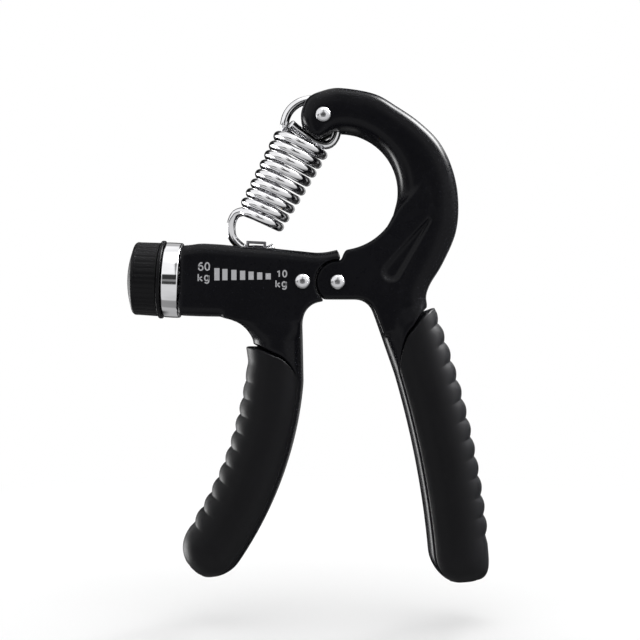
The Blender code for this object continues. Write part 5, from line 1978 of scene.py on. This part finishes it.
@dataclass(frozen=True)
class Course:
    """A level that follows straight lines between stops, or eases from one to another."""

    along: Measure
    stops: tuple[Point, ...]  # Pairs of a measure and the level there.
    eased: bool = False  # Whether it eases from the first stop to the last.

    def level(self, tree: Tree, measures: dict[Measure, bpy.types.bpy_struct]) -> Node:
        """Adds the nodes that give the level.

        Args:
            tree: Node tree that takes them.
            measures: Node or socket of each measure.

        Returns:
            The last node.
        """
        (first, low), (last, high) = self.stops[0], self.stops[-1]
        value = measures[self.along]
        if self.eased:
            inputs = (value, first, last, low, high)
            return add_node(tree, "MapRange", inputs, interpolation_type="SMOOTHSTEP")
        share = add_node(tree, "MapRange", (value, first, last, 0.0, 1.0))
        made = add_node(tree, "ValToRGB", (share,))
        elements = made.color_ramp.elements
        elements.remove(elements[1])
        for at, level in self.stops:
            place = (at - first) / (last - first)
            element = elements[0] if at == first else elements.new(place)
            element.position = place
            element.color = (level, level, level, 1.0)
        return made


@dataclass(frozen=True)
class Window:
    """A bright round window that mirrors see."""

    way: Spot  # Direction of its middle.
    level: float
    inner: float  # Degrees from its middle to where it starts to fade.
    outer: float  # Degrees to where it ends.

    def glow(self, tree: Tree, way: bpy.types.NodeSocket) -> Node:
        """Adds its brightness, eased by the cosine of the angle to its middle.

        Args:
            tree: Node tree that takes the nodes.
            way: Socket of the direction.

        Returns:
            The last node.
        """
        near = add_node(tree, "VectorMath", (way, self.way), operation="DOT_PRODUCT")
        ends = (cos(radians(self.outer)), cos(radians(self.inner)))
        inputs = (near.outputs["Value"], *ends, 0.0, self.level)
        return add_node(tree, "MapRange", inputs, interpolation_type="SMOOTHSTEP")


@dataclass(frozen=True)
class Studio:
    """Floor, surroundings and lamps."""

    floor_z: float  # Height of the floor in metres.
    half: float = 4.0  # Half the floor's side in metres.
    fade: Point = (0.12, 0.35)  # Distances in metres over which the floor passes into plain white.
    paper: tuple[str, str] = ("#f4f4f4", "#f1f1f1")  # The floor's two sRGB colours.
    paper_rough: float = 0.9
    fibre: float = 1.1  # Size of its fibres in millimetres.
    fibre_detail: Point = (3.0, 0.55)
    # Brightness of the pale room.
    room: Course = Course(
        Measure.HEIGHT,
        (
            (-180, 0.5), (-97, 0.5), (-93, 0.33), (-68, 0.33), (-65, 0.7), (-16, 0.82),
            (17, 1.15), (122, 1.15), (128, 0.55), (180, 0.55),
        ),
    )
    cloud_size: Point = (2.5, 2.0)  # Scale and detail of the room's clouds.
    # Noise at the clouds' ends, and the levels there.
    cloud_reach: tuple[float, ...] = (0.3, 0.7, 0.88, 1.1)
    # Black cloths, each the product of some courses: narrow bands straight ahead that are broken
    # into dashes; an upright strip over the middle; a round one straight behind; two that hang
    # behind over and under the middle; and one on each side.
    cloths: tuple[tuple[Course, ...], ...] = (
        (
            Course(
                Measure.HEIGHT,
                (
                    (-16, 0.0), (-13, 0.94), (-6.5, 0.94), (-5, 0.7), (-0.5, 0.7), (1.5, 0.96),
                    (14, 0.96), (17, 0.0),
                ),
            ),
            Course(
                Measure.RIGHT,
                (
                    (-1.0, 1.0), (-0.7, 1.0), (-0.66, 0.1), (-0.38, 0.1), (-0.32, 1.0),
                    (0.28, 1.0), (0.36, 0.1), (1.0, 0.1),
                ),
            ),
        ),
        (
            Course(Measure.HEIGHT, ((-1, 0.0), (3, 0.93), (52, 0.93), (68, 0.0))),
            Course(
                Measure.RIGHT,
                ((-1, 0.0), (-0.05, 0.0), (-0.03, 1.0), (0.08, 1.0), (0.12, 0.0), (1, 0.0)),
            ),
        ),
        (Course(Measure.BACK, ((0.94, 0.0), (0.975, 0.88)), eased=True),),
        (
            Course(Measure.BACK, ((0.3, 0.0), (0.5, 0.93)), eased=True),
            Course(Measure.SLANT, ((0.22, 0.0), (0.38, 1.0)), eased=True),
            Course(
                Measure.RIGHT,
                ((-1, 1.0), (-0.22, 1.0), (-0.17, 0.0), (-0.05, 0.0), (0.02, 1.0), (1, 1.0)),
            ),
        ),
        (
            Course(Measure.SLANT, ((0.35, 1.0), (0.6, 0.0)), eased=True),
            Course(
                Measure.SIDE,
                (
                    (-180, 0.92), (-118, 0.92), (-108, 0.0), (118, 0.0), (124, 0.92),
                    (146, 0.92), (152, 0.0), (180, 0.0),
                ),
            ),
        ),
    )
    windows: tuple[Window, ...] = (
        Window((0.66, 0.10, 0.745), 48.0, 9, 23),
        Window((-0.86, 0.46, -0.21), 10.0, 12, 22),
    )
    lamps: tuple[Lamp, ...] = (
        Lamp("top_box", (60.0, -120.0, 620.0), (4.0, 0.0, 90.0), (500, 400), 0.45),
        Lamp("right_box", (330.0, 330.0, 460.0), (40.0, 0.0, 130.0), (160, 260), 0.5),
        Lamp("left_box", (-300.0, 300.0, 20.0), (35.0, 0.0, 30.0), (120, 300), 0.25),
    )

    def build_floor(self) -> None:
        """Builds the pale floor.

        Near the object it is paper that takes its shadow. Further out it turns into the plain
        white of the surroundings. Reflections don't see it.
        """
        corners = np.array([(-1, -1, 0), (1, -1, 0), (1, 1, 0), (-1, 1, 0)]) * self.half
        corners[:, 2] = self.floor_z
        floor = mesh_object("floor", corners, [[0, 1, 2, 3]])
        made = bpy.data.materials.new("pale_paper_floor")
        made.use_nodes = True
        tree = made.node_tree
        paper = tree.nodes["Principled BSDF"]
        paper.inputs["Specular IOR Level"].default_value = 0.0
        paper.inputs["Roughness"].default_value = self.paper_rough
        place = add_node(tree, "TexCoord").outputs["Object"]
        noise = {"Vector": place, "Scale": 1 / (self.fibre * MM)}
        noise["Detail"], noise["Roughness"] = self.fibre_detail
        fibre = add_node(tree, "TexNoise", noise)
        colour = add_node(tree, "MixRGB", (fibre, *(linear(c) for c in self.paper)))
        tree.links.new(colour.outputs["Color"], paper.inputs["Base Color"])
        away = add_node(tree, "VectorMath", (place,), operation="LENGTH").outputs["Value"]
        inputs = (away, *self.fade, 0.0, 1.0)
        far = add_node(tree, "MapRange", inputs, interpolation_type="SMOOTHSTEP")
        white = add_node(tree, "Emission", (WHITE, 1.0))
        near = add_node(tree, "MixShader", (far, paper, white))
        glossy = add_node(tree, "LightPath").outputs["Is Glossy Ray"]
        both = add_node(tree, "MixShader", (glossy, near, add_node(tree, "BsdfTransparent")))
        tree.links.new(both.outputs["Shader"], tree.nodes["Material Output"].inputs["Surface"])
        floor.data.materials.append(made)
        floor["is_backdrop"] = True

    def product(self, tree: Tree, levels: list[Node]) -> Node:
        """Multiplies levels with each other, and returns the last node.

        Args:
            tree: The node tree.
            levels: Nodes whose values are multiplied.

        Returns:
            The last node.
        """
        made = levels[0]
        for level in levels[1:]:
            made = add_node(tree, "Math", (made, level), operation="MULTIPLY")
        return made

    def mirror_level(self, tree: Tree) -> Node:
        """Builds what mirrors see: a pale, slightly cloudy room with black cloths and windows.

        The level is the room's times one minus the blackness of each cloth, plus the windows'.

        Args:
            tree: The world's node tree.

        Returns:
            The level's node.
        """
        way = add_node(tree, "TexCoord").outputs["Generated"]
        x, y, z = add_node(tree, "SeparateXYZ", (way,)).outputs
        ahead = add_node(tree, "Math", (y, -1.0), operation="MULTIPLY")
        measures = {Measure.RIGHT: x, Measure.BACK: y}
        measures[Measure.SLANT] = add_node(tree, "Math", (z,), operation="ABSOLUTE")
        for measure, part in ((Measure.HEIGHT, z), (Measure.SIDE, x)):
            turn = add_node(tree, "Math", (part, ahead), operation="ARCTAN2")
            measures[measure] = add_node(tree, "Math", (turn, 180 / pi), operation="MULTIPLY")
        scale, detail = self.cloud_size
        cloud = add_node(tree, "TexNoise", {"Vector": way, "Scale": scale, "Detail": detail})
        cloud = add_node(tree, "MapRange", (cloud, *self.cloud_reach))
        levels = [self.room.level(tree, measures), cloud]
        for courses in self.cloths:
            cloth = self.product(tree, [course.level(tree, measures) for course in courses])
            levels.append(add_node(tree, "Math", (1.0, cloth), operation="SUBTRACT"))
        level = self.product(tree, levels)
        for window in self.windows:
            level = add_node(tree, "Math", (level, window.glow(tree, way)), operation="ADD")
        return level

    def build_world(self) -> None:
        """Builds the surroundings: plain white, but for what glossy surfaces mirror."""
        world = bpy.data.worlds.new("studio")
        world.use_nodes = True
        tree = world.node_tree
        tree.nodes.clear()
        room = add_node(tree, "Background", (self.mirror_level(tree), 1.0))
        plain = add_node(tree, "Background", (WHITE, 1.0))
        glossy = add_node(tree, "LightPath").outputs["Is Glossy Ray"]
        mixed = add_node(tree, "MixShader", (glossy, plain, room))
        add_node(tree, "OutputWorld", (mixed,))
        world.cycles.sampling_method = "NONE"
        bpy.context.scene.world = world

    def build(self) -> None:
        """Builds the whole studio."""
        self.build_floor()
        self.build_world()
        for lamp in self.lamps:
            lamp.build()
        bpy.context.scene.view_settings.view_transform = "Standard"


def main() -> None:
    """Builds every piece and the studio."""
    logging.basicConfig(level=logging.INFO, format="%(name)s: %(message)s")
    pieces = (Arm(), Lever(), Grips(), Spring(), ScrewTrain(), Rivets(), ScalePrint())
    for builder in (*pieces, HiddenParts()):
        builder.build()
    lowest = min(CAD_BOX[0][2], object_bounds()[0][2])
    Studio(floor_z=lowest - FOOT_ROOM).build()
    VIEW.build()


if __name__ == "__main__":
    main()
